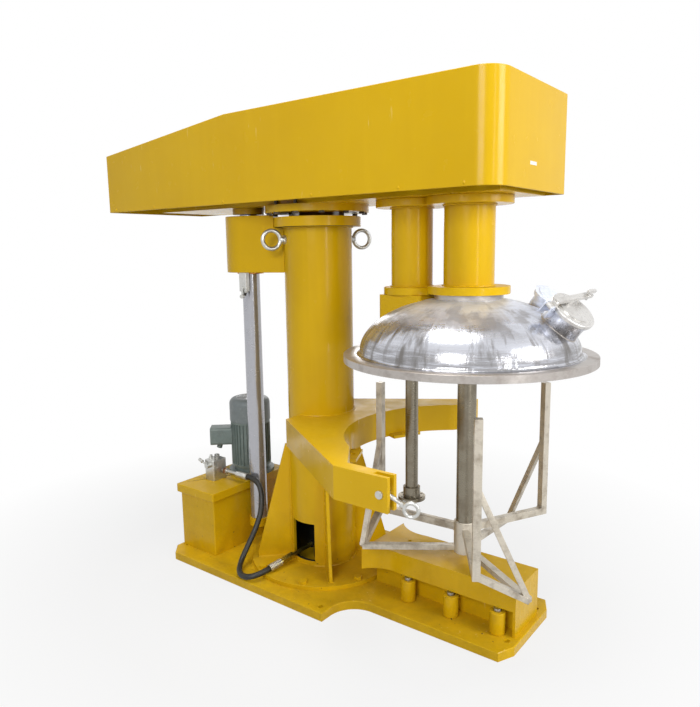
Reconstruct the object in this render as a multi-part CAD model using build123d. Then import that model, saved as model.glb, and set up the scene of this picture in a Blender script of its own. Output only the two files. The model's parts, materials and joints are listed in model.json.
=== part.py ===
from build123d import *
import math
import os

# Dual shaft disperser with a hydraulic lift. The frame is right handed and in millimetres.
# Z is up from the floor, the origin is where the lift column's axis meets the floor, and +X
# runs along the beam from the column towards the two mixing shafts.

# Floor plate
plate_thick = 40.0
plate_back = -715.0
plate_neck = 345.0
plate_tip = 1115.0
plate_half_width = 435.0
leg_half_width = 245.0
plate_back_chamfer = 60.0
plate_tip_cut_x = 35.0
plate_tip_cut_y = 75.0
neck_radius = 130.0
plate_edge_chamfer = 3.0
anchor_hole = 24.0
anchor_inset = 42.0

# Lift column
column_radius = 162.5
column_wall = 16.0
column_top = 1748.0
foot_flange_radius = 365.0
foot_flange_thick = 20.0
foot_bolt_circle = 338.0
foot_bolt_size = 24.0
foot_bolt_count = 8
head_flange_radius = 207.0
head_flange_thick = 45.0
doorway_left = -75.0
doorway_right = 65.0
doorway_bottom = 82.0
doorway_top = 272.0
gusset_count = 4
gusset_thick = 16.0
gusset_reach = 335.0
gusset_top = 645.0
gusset_lip = 28.0
gusset_crown = 22.0

# Guide bushes and lift tube inside the column
lift_tube_radius = 127.5
lift_tube_wall = 14.0
lift_tube_bottom = 300.0
upper_bush_length = 200.0
lower_bush_length = 100.0
lower_bush_bottom = 1330.0
running_clearance = 0.08

# Hydraulic cylinder
barrel_radius = 55.0
barrel_bore = 45.0
barrel_top = 1290.0
barrel_floor = 40.0
gland_length = 40.0
ram_radius = 30.0
piston_length = 45.0
piston_bottom = 125.0

# Tank clamp yoke
yoke_top = 817.0
yoke_height = 130.0
yoke_plate = 12.0
yoke_wall = 10.0
yoke_back = 0.0
yoke_back_half_width = 258.0
clamp_radius = 520.0
clamp_angle = 55.0
arm_corner_x = 600.0
arm_outer_y = 650.0
arm_width = 58.0
arm_end_x = 840.0
arm_root_x = 622.0
arm_block_length = 100.0
clevis_slot = 24.0
clevis_depth = 72.0
clevis_pin_radius = 9.0
clevis_pin_inset = 32.0
far_jaw_x = 548.0
stop_lug_width = 150.0
stop_lug_depth = 55.0
stop_lug_thick = 14.0
stop_lug_hole = 20.0
stop_lug_angle = 25.0
swing_bolt_radius = 8.0
swing_bolt_length = 118.0
swing_bolt_dip = 20.0
swing_ring_radius = 25.0
swing_ring_wire = 7.0

# Leg box with its guide rollers
leg_box_start = 372.0
leg_box_end = 1092.0
leg_box_half_width = 115.0
leg_box_flare = 62.0
leg_box_flare_length = 165.0
leg_box_top = 245.0
leg_box_plate = 12.0
leg_box_hole = (505.0, 24.0)
leg_box_slot = (600.0, 26.0, 74.0, 26.0)
leg_skirt_bottom = 148.0
leg_web_half_width = 58.0
roller_radius = 33.0
roller_height = 95.0
roller_gap = 0.5
roller_pin_radius = 10.0
roller_stations = (585.0, 800.0, 1015.0)

# Guide rod and its bracket
rod_radius = 44.0
rod_offset = 383.0
rod_heading = 193.6
rod_bottom = 150.0
rod_collar_radius = 53.0
rod_collar_height = 44.0
rod_flange_radius = 78.0
rod_flange_thick = 28.0
rod_bush_wall = 12.0
bracket_drop = 38.0
bracket_height = 272.0
bracket_end_radius = 115.0
bracket_root_half_width = 80.0
bracket_wall = 12.0
bracket_sleeve_wall = 14.0

# Lifting eyes
eye_height = 1645.0
eye_heading = 240.0
eye_ring_radius = 42.0
eye_ring_wire = 9.5
eye_boss_radius = 21.0
eye_stand_off = 66.0

# Oil tank, pump motor and valve
tank_back = -700.0
tank_front = -444.0
tank_near = -342.0
tank_far = 168.0
tank_top = 362.0
tank_wall = 4.0
lid_plate_thick = 18.0
lid_overhang = 16.0
lid_skirt = 26.0
motor_x = -556.0
motor_y = 42.0
motor_radius = 108.0
motor_flange_radius = 124.0
motor_flange_thick = 16.0
motor_bell_height = 40.0
motor_body_height = 250.0
motor_fin_count = 32
motor_fin_height = 9.0
motor_fin_thick = 3.0
fan_cover_height = 128.0
pump_radius = 48.0
pump_length = 150.0
terminal_box_size = (120.0, 96.0, 96.0)
terminal_box_z = 585.0
valve_x = -606.0
valve_y = -178.0
valve_size = (70.0, 92.0, 110.0)
spindle_radius = 6.0
spindle_depth = 14.0
outlet_rise = 45.0
outlet_y = -155.0
outlet_end = -385.0

# Hose and inlet pipe
hose_radius = 13.5
hose_low = 62.0
hose_reach = 438.0
inlet_start = (-37.0, -62.0, 112.0)
inlet_swing = 5.6
inlet_dip = 6.0
inlet_pipe_radius = 11.0
inlet_pipe_length = 128.0
coupling_length = 72.0
coupling_radius = 19.0
ferrule_length = 78.0
ferrule_radius = 17.5

# Limit switch and valve lever
switch_size = (30.0, 42.0, 92.0)
switch_offset = 84.0
switch_lever_length = 40.0
switch_spindle_radius = 4.0

# Beam and belt guard
beam_flange_radius = 246.0
beam_flange_bottom = 1768.0
beam_bottom = 1800.0
beam_plate = 25.0
beam_rib_height = 60.0
beam_rib_thick = 12.0
beam_back = -900.0
beam_front = 1030.0
beam_half_width = 212.0
beam_bolt_circle = 227.0
beam_bolt_count = 12
beam_bolt_size = 16.0
guard_back = -1211.0
guard_break = -275.0
guard_front = 1069.0
guard_half_width = 322.0
guard_bottom = 1809.0
guard_top = 2207.0
guard_back_top = 2107.0
guard_corner_radius = 95.0
guard_sheet = 4.0
crossbar_stations = (-820.0, -300.0, 240.0, 672.0, 945.0)
crossbar_width = 40.0
crossbar_thick = 8.0

# Mixing shafts and their housings
main_x = 803.0
main_shaft_radius = 40.0
main_shaft_bottom = 297.0
main_housing_radius = 103.0
main_bearing_radius = 75.0
main_top_flange = 175.0
main_low_flange = 168.0
main_low_flange_z = 1412.0
fast_x = 530.0
fast_shaft_radius = 28.5
fast_shaft_bottom = 498.0
fast_housing_radius = 89.0
fast_bearing_radius = 55.0
fast_top_flange = 155.0
fast_low_flange = 122.0
fast_low_flange_z = 1402.0
housing_flange_thick = 32.0
flange_split_gap = 2.0
bearing_width = 34.0
bearing_set_in = 24.0
fast_hub_radius = 62.0
fast_hub_height = 58.0

# Vessel lid with its ports
lid_rim_radius = 517.0
lid_rim_top = 1168.0
lid_rim_plate = 9.0
lid_rim_lip = 30.0
dome_radius = 450.0
dome_height = 225.0
dome_wall = 6.0
dome_skirt = 10.0
main_pad_radius = 140.0
fast_pad_half = 106.0
seal_wall = 17.0
seal_height = 20.0
charge_heading = 3.0
charge_reach = 378.0
charge_tilt = 42.0
charge_lean = -14.0
charge_neck_radius = 78.0
charge_neck_length = 72.0
charge_cover_radius = 90.0
charge_cover_thick = 14.0
cover_gap = 0.3
hinge_offset = 18.0
hinge_pin_radius = 6.0
hinge_eye_radius = 12.0
hinge_ear_width = 26.0
hinge_lug_thick = 6.0
hinge_foot = 36.0
clamp_bar_shift = 36.0
clamp_bar_overhang = 26.0
clamp_bar_thick = 14.0
clamp_bar_rise = 20.0
sight_heading = 34.0
sight_reach = 285.0
sight_tilt = 38.0
sight_lean = -20.0
sight_neck_radius = 44.0
sight_neck_length = 62.0
sight_cap_radius = 55.0
sight_cap_thick = 12.0
neck_wall = 5.0

# Paddle frame
paddle_hub_radius = 48.0
paddle_hub_bottom = 290.0
paddle_hub_top = 428.0
paddle_angle = -57.0
paddle_radius = 428.0
paddle_toe_radius = 449.0
paddle_toe_lead = 26.4
paddle_foot_z = 395.0
paddle_toe_z = 290.0
paddle_top_z = 996.0
paddle_brace_z = 735.0
paddle_bar = 30.0
paddle_brace_bar = 22.0
paddle_arm_count = 3

# Drive inside the guard
drive_motor_x = -640.0
drive_motor_y = 100.0
drive_motor_radius = 97.0
drive_motor_height = 205.0
belt_width = 35.0
belt_thick = 8.0
belt_gap = 0.3
slow_belt_z = 2104.0
fast_belt_z = 2058.0
main_pulley_radius = 140.0
main_motor_pulley_radius = 56.0
fast_pulley_radius = 62.0
fast_motor_pulley_radius = 93.0
motor_shaft_radius = 19.0

# Values that follow from the sizes above
floor_top = plate_thick
foot_top = floor_top + foot_flange_thick
column_bore = column_radius - column_wall
yoke_bottom = yoke_top - yoke_height
tank_lid_top = tank_top + lid_plate_thick
beam_top = beam_bottom + beam_plate
bracket_top = beam_bottom - bracket_drop
bracket_bottom = bracket_top - bracket_height
outlet_height = tank_lid_top + outlet_rise
rod_x = rod_offset * math.cos(math.radians(rod_heading))
rod_y = rod_offset * math.sin(math.radians(rod_heading))
arm_mid_y = arm_outer_y - arm_width / 2
clevis_pin_x = arm_end_x - clevis_pin_inset
clevis_pin_z = (yoke_top + yoke_bottom) / 2
main_shaft_top = slow_belt_z + belt_width
fast_shaft_top = fast_belt_z + belt_width + 3
charge_port = (charge_heading, charge_reach, charge_tilt, charge_lean)
sight_port = (sight_heading, sight_reach, sight_tilt, sight_lean)


def polar(radius, degrees, z=0.0):
    """Point at a radius and heading about the column axis."""
    angle = math.radians(degrees)
    return Vector(radius * math.cos(angle), radius * math.sin(angle), z)


def cylinder(radius, bottom, top, x=0.0, y=0.0):
    """Upright cylinder between two heights."""
    return Pos(x, y, bottom) * extrude(Circle(radius), amount=top - bottom)


def ring(outer, inner, bottom, top, x=0.0, y=0.0):
    """Upright tube between two heights."""
    return Pos(x, y, bottom) * extrude(Circle(outer) - Circle(inner), amount=top - bottom)


def block(x0, x1, y0, y1, z0, z1):
    """Box between two corners."""
    centre = Pos((x0 + x1) / 2, (y0 + y1) / 2, (z0 + z1) / 2)
    return centre * Box(x1 - x0, y1 - y0, z1 - z0)


def rod_between(start, end, radius):
    """Round bar from one point to another."""
    start = Vector(*start)
    end = Vector(*end)
    plane = Plane(origin=start, z_dir=end - start)
    return extrude(plane * Circle(radius), amount=(end - start).length)


def bar_between(start, end, width, height):
    """Rectangular bar from one point to another, its width kept level."""
    start = Vector(*start)
    end = Vector(*end)
    run = end - start
    level = Vector(0, 0, 1).cross(run)
    if level.length < 1e-6:
        level = Vector(-start.Y, start.X - main_x, 0).cross(Vector(0, 0, 1))
    plane = Plane(origin=start, x_dir=level, z_dir=run)
    return extrude(plane * Rectangle(width, height), amount=run.length)


def hex_bolt(x, y, seat, size, reach, downwards=True):
    """Hexagon bolt whose head sits on a seat height and whose shank reaches through."""
    head = Pos(x, y, seat) * extrude(RegularPolygon(size * 0.87, 6), amount=size * 0.62)
    shank = cylinder(size / 2, seat - reach, seat, x, y)
    bolt = head + shank
    if not downwards:
        bolt = Pos(0, 0, 2 * seat) * mirror(bolt, about=Plane.XY)
    return bolt


def around(count, radius, first=0.0, x=0.0, y=0.0):
    """Evenly spaced points on a circle."""
    places = []
    for index in range(count):
        point = polar(radius, first + 360.0 * index / count)
        places.append((point.X + x, point.Y + y))
    return places


def dome_solid(radius, height):
    """Half ellipsoid over the lid's skirt, standing on the rim."""
    base = lid_rim_top
    arc = EllipticalCenterArc((0, dome_skirt), radius, height, start_angle=0, arc_size=90)
    outline = Polyline((0, dome_skirt + height), (0, 0), (radius, 0), (radius, dome_skirt))
    profile = make_face(arc + outline)
    solid = revolve(Plane.XZ * profile, axis=Axis.Z)
    return Pos(main_x, 0, base) * solid


def port_plane(port, lift=0.0):
    """Plane across a port's axis, a given way out from the dome, x level and y inwards."""
    heading, reach, tilt, lean = port
    angle = math.radians(heading)
    rise = dome_height * math.sqrt(1 - (reach / dome_radius) ** 2)
    foot = Vector(
        main_x + reach * math.cos(angle),
        reach * math.sin(angle),
        lid_rim_top + dome_skirt + rise,
    )
    side = math.radians(lean)
    level = math.sin(math.radians(tilt))
    rise = math.cos(math.radians(tilt))
    normal = Vector(level * math.cos(side), level * math.sin(side), rise)
    tangent = Vector(-math.sin(side), math.cos(side), 0)
    return Plane(origin=foot + normal * lift, x_dir=tangent, z_dir=normal)


def base_plate():
    """Flame-cut floor plate: a wide back and a narrower leg under the vessel."""
    half = [
        (plate_back, plate_half_width - plate_back_chamfer),
        (plate_back + plate_back_chamfer, plate_half_width),
        (plate_neck, plate_half_width),
        (plate_neck, leg_half_width),
        (plate_tip - plate_tip_cut_x, leg_half_width),
        (plate_tip, leg_half_width - plate_tip_cut_y),
    ]
    other = [(x, -y) for x, y in reversed(half)]
    outline = make_face(Polyline(*(half + other), close=True))
    inner = [
        v for v in outline.vertices()
        if abs(v.X - plate_neck) < 1 and abs(abs(v.Y) - leg_half_width) < 1
    ]
    outline = fillet(inner, neck_radius)
    plate = extrude(outline, amount=plate_thick)
    plate = chamfer(plate.faces().sort_by(Axis.Z)[-1].edges(), plate_edge_chamfer)
    corners = [
        (plate_back + anchor_inset, plate_half_width - plate_back_chamfer - anchor_inset),
        (plate_neck - anchor_inset, plate_half_width - anchor_inset),
        (plate_tip - anchor_inset, leg_half_width - plate_tip_cut_y - anchor_inset / 2),
    ]
    for x, y in corners:
        for side in (1, -1):
            plate -= cylinder(anchor_hole / 2, -1, plate_thick + 1, x, side * y)
    for x, y in around(foot_bolt_count, foot_bolt_circle, 180 / foot_bolt_count):
        plate -= cylinder(foot_bolt_size / 2 + 0.3, 6, plate_thick + 1, x, y)
    return plate


def column():
    """Column tube with its foot flange, head flange and hose doorway."""
    tube = ring(column_radius, column_bore, floor_top, column_top)
    foot = ring(foot_flange_radius, column_bore, floor_top, foot_top)
    head = ring(head_flange_radius, column_bore, column_top - head_flange_thick, column_top)
    post = tube + foot + head
    for x, y in around(foot_bolt_count, foot_bolt_circle, 180 / foot_bolt_count):
        post -= cylinder(foot_bolt_size / 2 + 0.8, floor_top - 1, foot_top + 1, x, y)
    door = block(
        doorway_left, doorway_right, -column_radius - 10, -column_bore / 2,
        doorway_bottom, doorway_top,
    )
    post -= door
    return post


def gussets():
    """Four triangular stiffeners between the foot flange and the column."""
    plates = []
    inner = column_radius - 6
    profile = [
        (inner, foot_top),
        (gusset_reach, foot_top),
        (gusset_reach, foot_top + gusset_lip),
        (column_radius + gusset_crown, gusset_top),
        (inner, gusset_top),
    ]
    face = make_face(Polyline(*profile, close=True))
    tube = cylinder(column_radius, 0, column_top)
    for index in range(gusset_count):
        heading = 45 + 360 * index / gusset_count
        slab = extrude(Plane.XZ * face, amount=gusset_thick / 2, both=True)
        plates.append(Rot(0, 0, heading) * slab - tube)
    return Compound(plates)


def foot_bolts():
    """Hexagon bolts that hold the foot flange to the floor plate."""
    reach = foot_flange_thick + plate_thick - 12
    places = around(foot_bolt_count, foot_bolt_circle, 180 / foot_bolt_count)
    return Compound([hex_bolt(x, y, foot_top, foot_bolt_size, reach) for x, y in places])


def yoke_outline(inset=0.0):
    """Outline of the yoke from above, pulled in all round by an inset."""
    slope = (arm_outer_y - yoke_back_half_width) / (arm_corner_x - yoke_back)
    far_y = yoke_back_half_width + slope * (far_jaw_x - yoke_back)
    start = math.radians(180 - clamp_angle)
    radius = clamp_radius
    near = (main_x + radius * math.cos(start), -radius * math.sin(start))
    far = (near[0], -near[1])
    middle = (main_x - radius, 0)
    run = (arm_root_x - near[0], arm_outer_y - arm_width + near[1])
    reach = (far_jaw_x - far[0]) / run[0]
    jaw = (far_jaw_x, far[1] + reach * run[1])
    outside = Polyline(
        far, jaw, (far_jaw_x, far_y), (yoke_back, yoke_back_half_width),
        (yoke_back, -yoke_back_half_width), (arm_corner_x, -arm_outer_y),
        (arm_end_x, -arm_outer_y), (arm_end_x, -arm_outer_y + arm_width),
        (arm_root_x, -arm_outer_y + arm_width), near,
    )
    face = make_face(outside + ThreePointArc(near, middle, far))
    if inset > 0:
        face = offset(face, amount=-inset, kind=Kind.INTERSECTION)
    return face


def clamp_yoke():
    """Box-section yoke that holds the vessel, with a clevis at the near arm's end."""
    outer = Pos(0, 0, yoke_bottom) * extrude(yoke_outline(), amount=yoke_height)
    hollow = Pos(0, 0, yoke_bottom - 1) * extrude(
        yoke_outline(yoke_wall), amount=yoke_height - yoke_plate + 1
    )
    hollow -= block(
        arm_end_x - arm_block_length, arm_end_x + 1, -arm_outer_y - 1, -arm_outer_y + arm_width + 1,
        yoke_bottom - 2, yoke_top,
    )
    hollow -= cylinder(column_radius + yoke_wall, yoke_bottom - 2, yoke_top)
    yoke = outer - hollow
    yoke -= cylinder(column_radius, yoke_bottom - 1, yoke_top + 1)
    yoke -= block(
        arm_end_x - clevis_depth, arm_end_x + 1,
        -arm_mid_y - clevis_slot / 2, -arm_mid_y + clevis_slot / 2,
        yoke_bottom - 1, yoke_top + 1,
    )
    pin_hole = rod_between(
        (clevis_pin_x, -arm_outer_y - 1, clevis_pin_z),
        (clevis_pin_x, -arm_outer_y + arm_width + 1, clevis_pin_z),
        clevis_pin_radius + running_clearance,
    )
    yoke -= pin_hole
    for side in (1, -1):
        yoke += stop_lug(side)
    return yoke


def stop_lug(side):
    """Flat lug with a bolt hole under the yoke's inner wall."""
    heading = 180 - side * stop_lug_angle
    inner = clamp_radius - stop_lug_depth
    outer = clamp_radius + yoke_wall / 2
    middle = (inner + outer) / 2
    lug = Pos(middle, 0, yoke_bottom + stop_lug_thick / 2) * Box(
        outer - inner, stop_lug_width, stop_lug_thick
    )
    lug -= cylinder(stop_lug_hole / 2, yoke_bottom - 1, yoke_top, inner + stop_lug_depth / 2, 0)
    return Pos(main_x, 0, 0) * Rot(0, 0, heading) * lug


def clevis_pin():
    """Headed pin through the clevis, with its head on the outer face."""
    head_face = -arm_outer_y
    pin = rod_between(
        (clevis_pin_x, head_face, clevis_pin_z),
        (clevis_pin_x, head_face + arm_width + 4, clevis_pin_z),
        clevis_pin_radius,
    )
    head = rod_between(
        (clevis_pin_x, head_face - 9, clevis_pin_z),
        (clevis_pin_x, head_face, clevis_pin_z),
        clevis_pin_radius + 6,
    )
    return pin + head


def swing_bolt():
    """Eye bolt that swings on the clevis pin and ends in a pull ring."""
    eye_outer = clevis_pin_radius + 10
    plane = Plane(origin=(clevis_pin_x, -arm_mid_y, clevis_pin_z), z_dir=(0, 1, 0), x_dir=(1, 0, 0))
    eye = extrude(plane * Circle(eye_outer), amount=clevis_slot / 2 - 1, both=True)
    reach = swing_bolt_length
    dip = math.radians(swing_bolt_dip)
    along = Vector(math.cos(dip), 0, -math.sin(dip))
    pivot = Vector(clevis_pin_x, -arm_mid_y, clevis_pin_z)
    tip = pivot + along * (reach - swing_ring_radius)
    stem = rod_between(tuple(pivot), tuple(tip), swing_bolt_radius)
    nut = rod_between(tuple(tip - along * 16), tuple(tip - along * 2), swing_bolt_radius * 1.8)
    centre = pivot + along * reach
    ring_plane = Plane(origin=centre, z_dir=(0.35, -0.94, 0), x_dir=(0.94, 0.35, 0))
    pull = ring_plane * Torus(swing_ring_radius, swing_ring_wire)
    bolt = eye + stem + nut + pull
    bore = extrude(plane * Circle(clevis_pin_radius + running_clearance), amount=40, both=True)
    return bolt - bore


def leg_box():
    """Raised box along the leg: a web box under a top plate with turned-down skirts."""
    flare_end = leg_box_start + leg_box_flare_length
    wide = leg_box_half_width + leg_box_flare
    side = [
        (leg_box_start, wide),
        (flare_end, leg_box_half_width),
        (leg_box_end, leg_box_half_width),
    ]
    corner = (leg_box_start + leg_box_flare_length * 0.35, leg_box_half_width + leg_box_flare * 0.22)
    upper = ThreePointArc(side[0], corner, side[1])
    lower = ThreePointArc((side[0][0], -wide), (corner[0], -corner[1]), (flare_end, -leg_box_half_width))
    rest = Polyline(side[1], side[2], (leg_box_end, -leg_box_half_width), (flare_end, -leg_box_half_width))
    back = Line((leg_box_start, -wide), (leg_box_start, wide))
    face = make_face(upper + rest + lower + back)
    cap = Pos(0, 0, leg_skirt_bottom) * extrude(face, amount=leg_box_top - leg_skirt_bottom)
    inner = offset(face, amount=-leg_box_plate, kind=Kind.INTERSECTION)
    cap -= Pos(0, 0, leg_skirt_bottom - 1) * extrude(
        inner, amount=leg_box_top - leg_skirt_bottom - leg_box_plate + 1
    )
    under = leg_box_top - leg_box_plate
    web = block(leg_box_start, leg_box_end, -leg_web_half_width, leg_web_half_width, floor_top, under)
    web -= block(
        leg_box_start - 1, leg_box_end - leg_box_plate,
        -leg_web_half_width + leg_box_plate, leg_web_half_width - leg_box_plate,
        floor_top - 1, under - leg_box_plate,
    )
    end = block(
        leg_box_end - leg_box_plate, leg_box_end, -leg_box_half_width, leg_box_half_width,
        floor_top, leg_box_top,
    )
    box = cap + web + end
    hole_x, hole_y = leg_box_hole
    box -= cylinder(9, under - 20, leg_box_top + 1, hole_x, hole_y)
    slot_x, slot_y, length, width = leg_box_slot
    slot = Pos(slot_x, slot_y, leg_box_top) * Box(length, width, 2 * leg_box_plate + 16)
    return box - slot


def roller_places():
    """Guide roller axes on both sides of the leg box."""
    return [(x, side * leg_box_half_width) for side in (-1, 1) for x in roller_stations]


def leg_box_with_pockets():
    """Leg box with room over each roller for its pin bracket."""
    box = leg_box()
    for x, y in roller_places():
        box -= cylinder(roller_radius + 4, floor_top - 1, floor_top + roller_height + 4, x, y)
    return box


def guide_roller(x, y):
    """Plain steel roller on an upright pin."""
    bottom = floor_top + roller_gap
    top = floor_top + roller_height
    body = ring(roller_radius, roller_pin_radius + running_clearance, bottom, top, x, y)
    rims = body.edges().filter_by(GeomType.CIRCLE).filter_by(
        lambda e: abs(e.radius - roller_radius) < 0.1
    )
    return chamfer(rims, 2.5)


def roller_pins():
    """Upright pins of the guide rollers, from the floor plate to the skirt."""
    top = floor_top + roller_height
    pins = []
    for x, y in roller_places():
        pin = cylinder(roller_pin_radius, floor_top, leg_skirt_bottom, x, y)
        cap = cylinder(roller_pin_radius + 7, top + roller_gap, leg_skirt_bottom, x, y)
        pins.append(pin + cap)
    return Compound(pins)


def rod_bracket():
    """Bracket on the column that carries the guide rod's bush."""
    flat = bracket_root_half_width
    reach = rod_offset
    end = Pos(reach, 0) * Circle(bracket_end_radius)
    root = Pos(column_radius * 0.6, 0) * Rectangle(20, 2 * flat)
    hull_face = make_hull(end.edges() + root.edges())
    outer = extrude(hull_face, amount=bracket_height)
    inner_face = offset(hull_face, amount=-bracket_wall)
    hollow = Pos(0, 0, bracket_wall) * extrude(inner_face, amount=bracket_height)
    bush_radius = rod_radius + rod_bush_wall
    sleeve = ring(bush_radius + bracket_sleeve_wall, bush_radius, 0, bracket_height, reach, 0)
    arm = outer - hollow + sleeve
    arm -= cylinder(bush_radius, -1, bracket_height + 1, reach, 0)
    arm -= cylinder(column_radius, -1, bracket_height + 1)
    under_head = column_top - head_flange_thick - bracket_bottom
    arm -= cylinder(head_flange_radius + 2, under_head, bracket_height + 1)
    return Rot(0, 0, rod_heading) * Pos(0, 0, bracket_bottom) * arm


def rod_bush():
    """Bronze bush in the bracket, flanged at its lower end."""
    outer = rod_radius + rod_bush_wall
    inner = rod_radius + running_clearance
    bush = ring(outer, inner, bracket_bottom - 8, bracket_top, rod_x, rod_y)
    return bush + ring(outer + 10, inner, bracket_bottom - 8, bracket_bottom, rod_x, rod_y)


def lifting_eye(heading):
    """Forged eye bolt with its ring in the plane of the column's axis."""
    base = column_radius - 4
    boss = extrude(
        Plane(origin=(base, 0, 0), z_dir=(1, 0, 0)) * Circle(eye_boss_radius), amount=14
    )
    neck = extrude(
        Plane(origin=(base, 0, 0), z_dir=(1, 0, 0)) * Circle(eye_boss_radius * 0.6),
        amount=eye_stand_off - eye_ring_radius + 8,
    )
    plane = Plane(origin=(column_radius + eye_stand_off, 0, 0), z_dir=(0, 1, 0), x_dir=(1, 0, 0))
    loop = plane * Torus(eye_ring_radius, eye_ring_wire)
    eye = boss + neck + loop - cylinder(column_radius, -60, 60)
    return Rot(0, 0, heading) * Pos(0, 0, eye_height) * eye


def lifting_eyes():
    """Two lifting eyes on opposite sides of the column's head."""
    return Compound([lifting_eye(eye_heading), lifting_eye(eye_heading - 180)])


def inlet_direction():
    """Direction in which the inlet pipe leaves the cylinder's port."""
    swing = math.radians(inlet_swing)
    dip = math.radians(inlet_dip)
    level = math.cos(dip)
    return Vector(-math.sin(swing) * level, -math.cos(swing) * level, -math.sin(dip))


def cylinder_barrel():
    """Lift cylinder barrel with its base, rod gland and side port."""
    along = inlet_direction()
    start = Vector(*inlet_start)
    barrel = cylinder(barrel_radius, barrel_floor, barrel_top)
    boss = rod_between(tuple(start - along * 34), tuple(start), inlet_pipe_radius + 8)
    barrel += boss
    barrel -= cylinder(barrel_bore, piston_bottom - 45, barrel_top - gland_length)
    barrel -= cylinder(ram_radius + running_clearance, piston_bottom, barrel_top + 1)
    port = rod_between(tuple(start - along * 40), tuple(start + along), inlet_pipe_radius - 5)
    return barrel - port


def lift_ram():
    """Piston and rod that push the lift tube up."""
    piston = cylinder(barrel_bore - running_clearance, piston_bottom, piston_bottom + piston_length)
    rod = cylinder(ram_radius, piston_bottom, beam_flange_bottom)
    return piston + rod


def lift_tube():
    """Sliding tube of the lift with the flange that carries the beam."""
    tube = ring(
        lift_tube_radius, lift_tube_radius - lift_tube_wall, lift_tube_bottom, beam_flange_bottom
    )
    cap = cylinder(beam_flange_radius, beam_flange_bottom, beam_bottom)
    for x, y in around(beam_bolt_count, beam_bolt_circle, 15):
        cap -= cylinder(beam_bolt_size / 2 + 0.5, beam_flange_bottom - 1, beam_bottom + 1, x, y)
    return tube + cap


def column_bushes():
    """Upper and lower guide bush between the column and the lift tube."""
    inner = lift_tube_radius + running_clearance
    upper = ring(column_bore, inner, column_top - upper_bush_length, column_top)
    lower = ring(column_bore, inner, lower_bush_bottom, lower_bush_bottom + lower_bush_length)
    return Compound([upper, lower])


def beam_bolts():
    """Bolts that hold the beam flange up to the beam, heads below."""
    places = around(beam_bolt_count, beam_bolt_circle, 15)
    reach = beam_bottom - beam_flange_bottom + beam_plate - 5
    bolts = []
    for x, y in places:
        bolts.append(hex_bolt(x, y, beam_flange_bottom, beam_bolt_size, reach, downwards=False))
    return Compound(bolts)


def beam():
    """Flat beam with edge ribs that joins the lift to the mixing shafts."""
    plate = block(
        beam_back, beam_front, -beam_half_width, beam_half_width, beam_bottom, beam_top
    )
    for side in (-1, 1):
        near = side * beam_half_width
        rib = near - side * beam_rib_thick
        plate += block(
            beam_back, beam_front, min(near, rib), max(near, rib), beam_top, beam_top + beam_rib_height
        )
    for x in crossbar_stations:
        plate -= block(
            x - crossbar_width / 2 - 0.5, x + crossbar_width / 2 + 0.5, -beam_half_width - 1,
            beam_half_width + 1, beam_top, beam_top + crossbar_thick + 1,
        )
    plate -= cylinder(main_shaft_radius + 12, beam_bottom - 1, beam_top + 1, main_x, 0)
    plate -= cylinder(fast_shaft_radius + 12, beam_bottom - 1, beam_top + 1, fast_x, 0)
    for x, y in around(beam_bolt_count, beam_bolt_circle, 15):
        plate -= cylinder(beam_bolt_size / 2 + 0.3, beam_bottom - 1, beam_top - 4, x, y)
    return plate


def guard_crossbars():
    """Flat bars across the beam that the guard is screwed to."""
    reach = guard_half_width - guard_sheet
    bars = []
    for x in crossbar_stations:
        bars.append(
            block(
                x - crossbar_width / 2, x + crossbar_width / 2, -reach, reach,
                beam_top, beam_top + crossbar_thick,
            )
        )
    return Compound(bars)


def guard_hull(inset, drop):
    """Outer form of the belt guard, pulled in by a sheet and lowered at its mouth."""
    slope = (guard_top - guard_back_top) / (guard_break - guard_back)
    back = guard_back + inset
    back_top = guard_back_top - inset * math.sqrt(1 + slope * slope) + slope * inset
    bend = guard_break
    profile = [
        (back, guard_bottom - drop),
        (guard_front - inset, guard_bottom - drop),
        (guard_front - inset, guard_top - inset),
        (bend, guard_top - inset),
        (back, back_top),
    ]
    half = guard_half_width - inset
    hull = extrude(Plane.XZ * make_face(Polyline(*profile, close=True)), amount=half, both=True)
    corner = [
        e for e in hull.edges().filter_by(Axis.Z)
        if abs(e.center().X - guard_front + inset) < 1 and e.center().Y < 0
    ]
    return fillet(corner, guard_corner_radius - inset)


def belt_guard():
    """Sheet-metal cover over the beam, open underneath, one front corner rolled."""
    return guard_hull(0, 0) - guard_hull(guard_sheet, 20)


def guide_rod():
    """Chromed rod that keeps the beam from turning, with its top flange."""
    rod = cylinder(rod_radius, rod_bottom, beam_bottom, rod_x, rod_y)
    flange = cylinder(rod_flange_radius, beam_bottom - rod_flange_thick, beam_bottom, rod_x, rod_y)
    return rod + flange


def rod_collar():
    """Stop collar clamped on the rod's lower end."""
    return ring(
        rod_collar_radius, rod_radius, rod_bottom, rod_bottom + rod_collar_height, rod_x, rod_y
    )


def shaft_housing(x, radius, bearing, top_flange, low_flange, low_z, keep_high_x):
    """Bearing housing tube between the beam and the vessel lid, with trimmed flanges."""
    upper = beam_bottom - housing_flange_thick
    tube = cylinder(radius, low_z, beam_bottom, x, 0)
    tube += cylinder(top_flange, upper, beam_bottom, x, 0)
    tube += cylinder(low_flange, low_z, low_z + housing_flange_thick, x, 0)
    split = (main_x - main_housing_radius + fast_x + fast_housing_radius) / 2
    far = 2 * guard_front
    if keep_high_x:
        trim = block(-far, split + flange_split_gap / 2, -far, far, low_z - 1, beam_bottom + 1)
    else:
        trim = block(split - flange_split_gap / 2, far, -far, far, low_z - 1, beam_bottom + 1)
    tube -= trim
    tube -= cylinder(bearing, low_z - 1, beam_bottom + 1, x, 0)
    return tube


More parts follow.
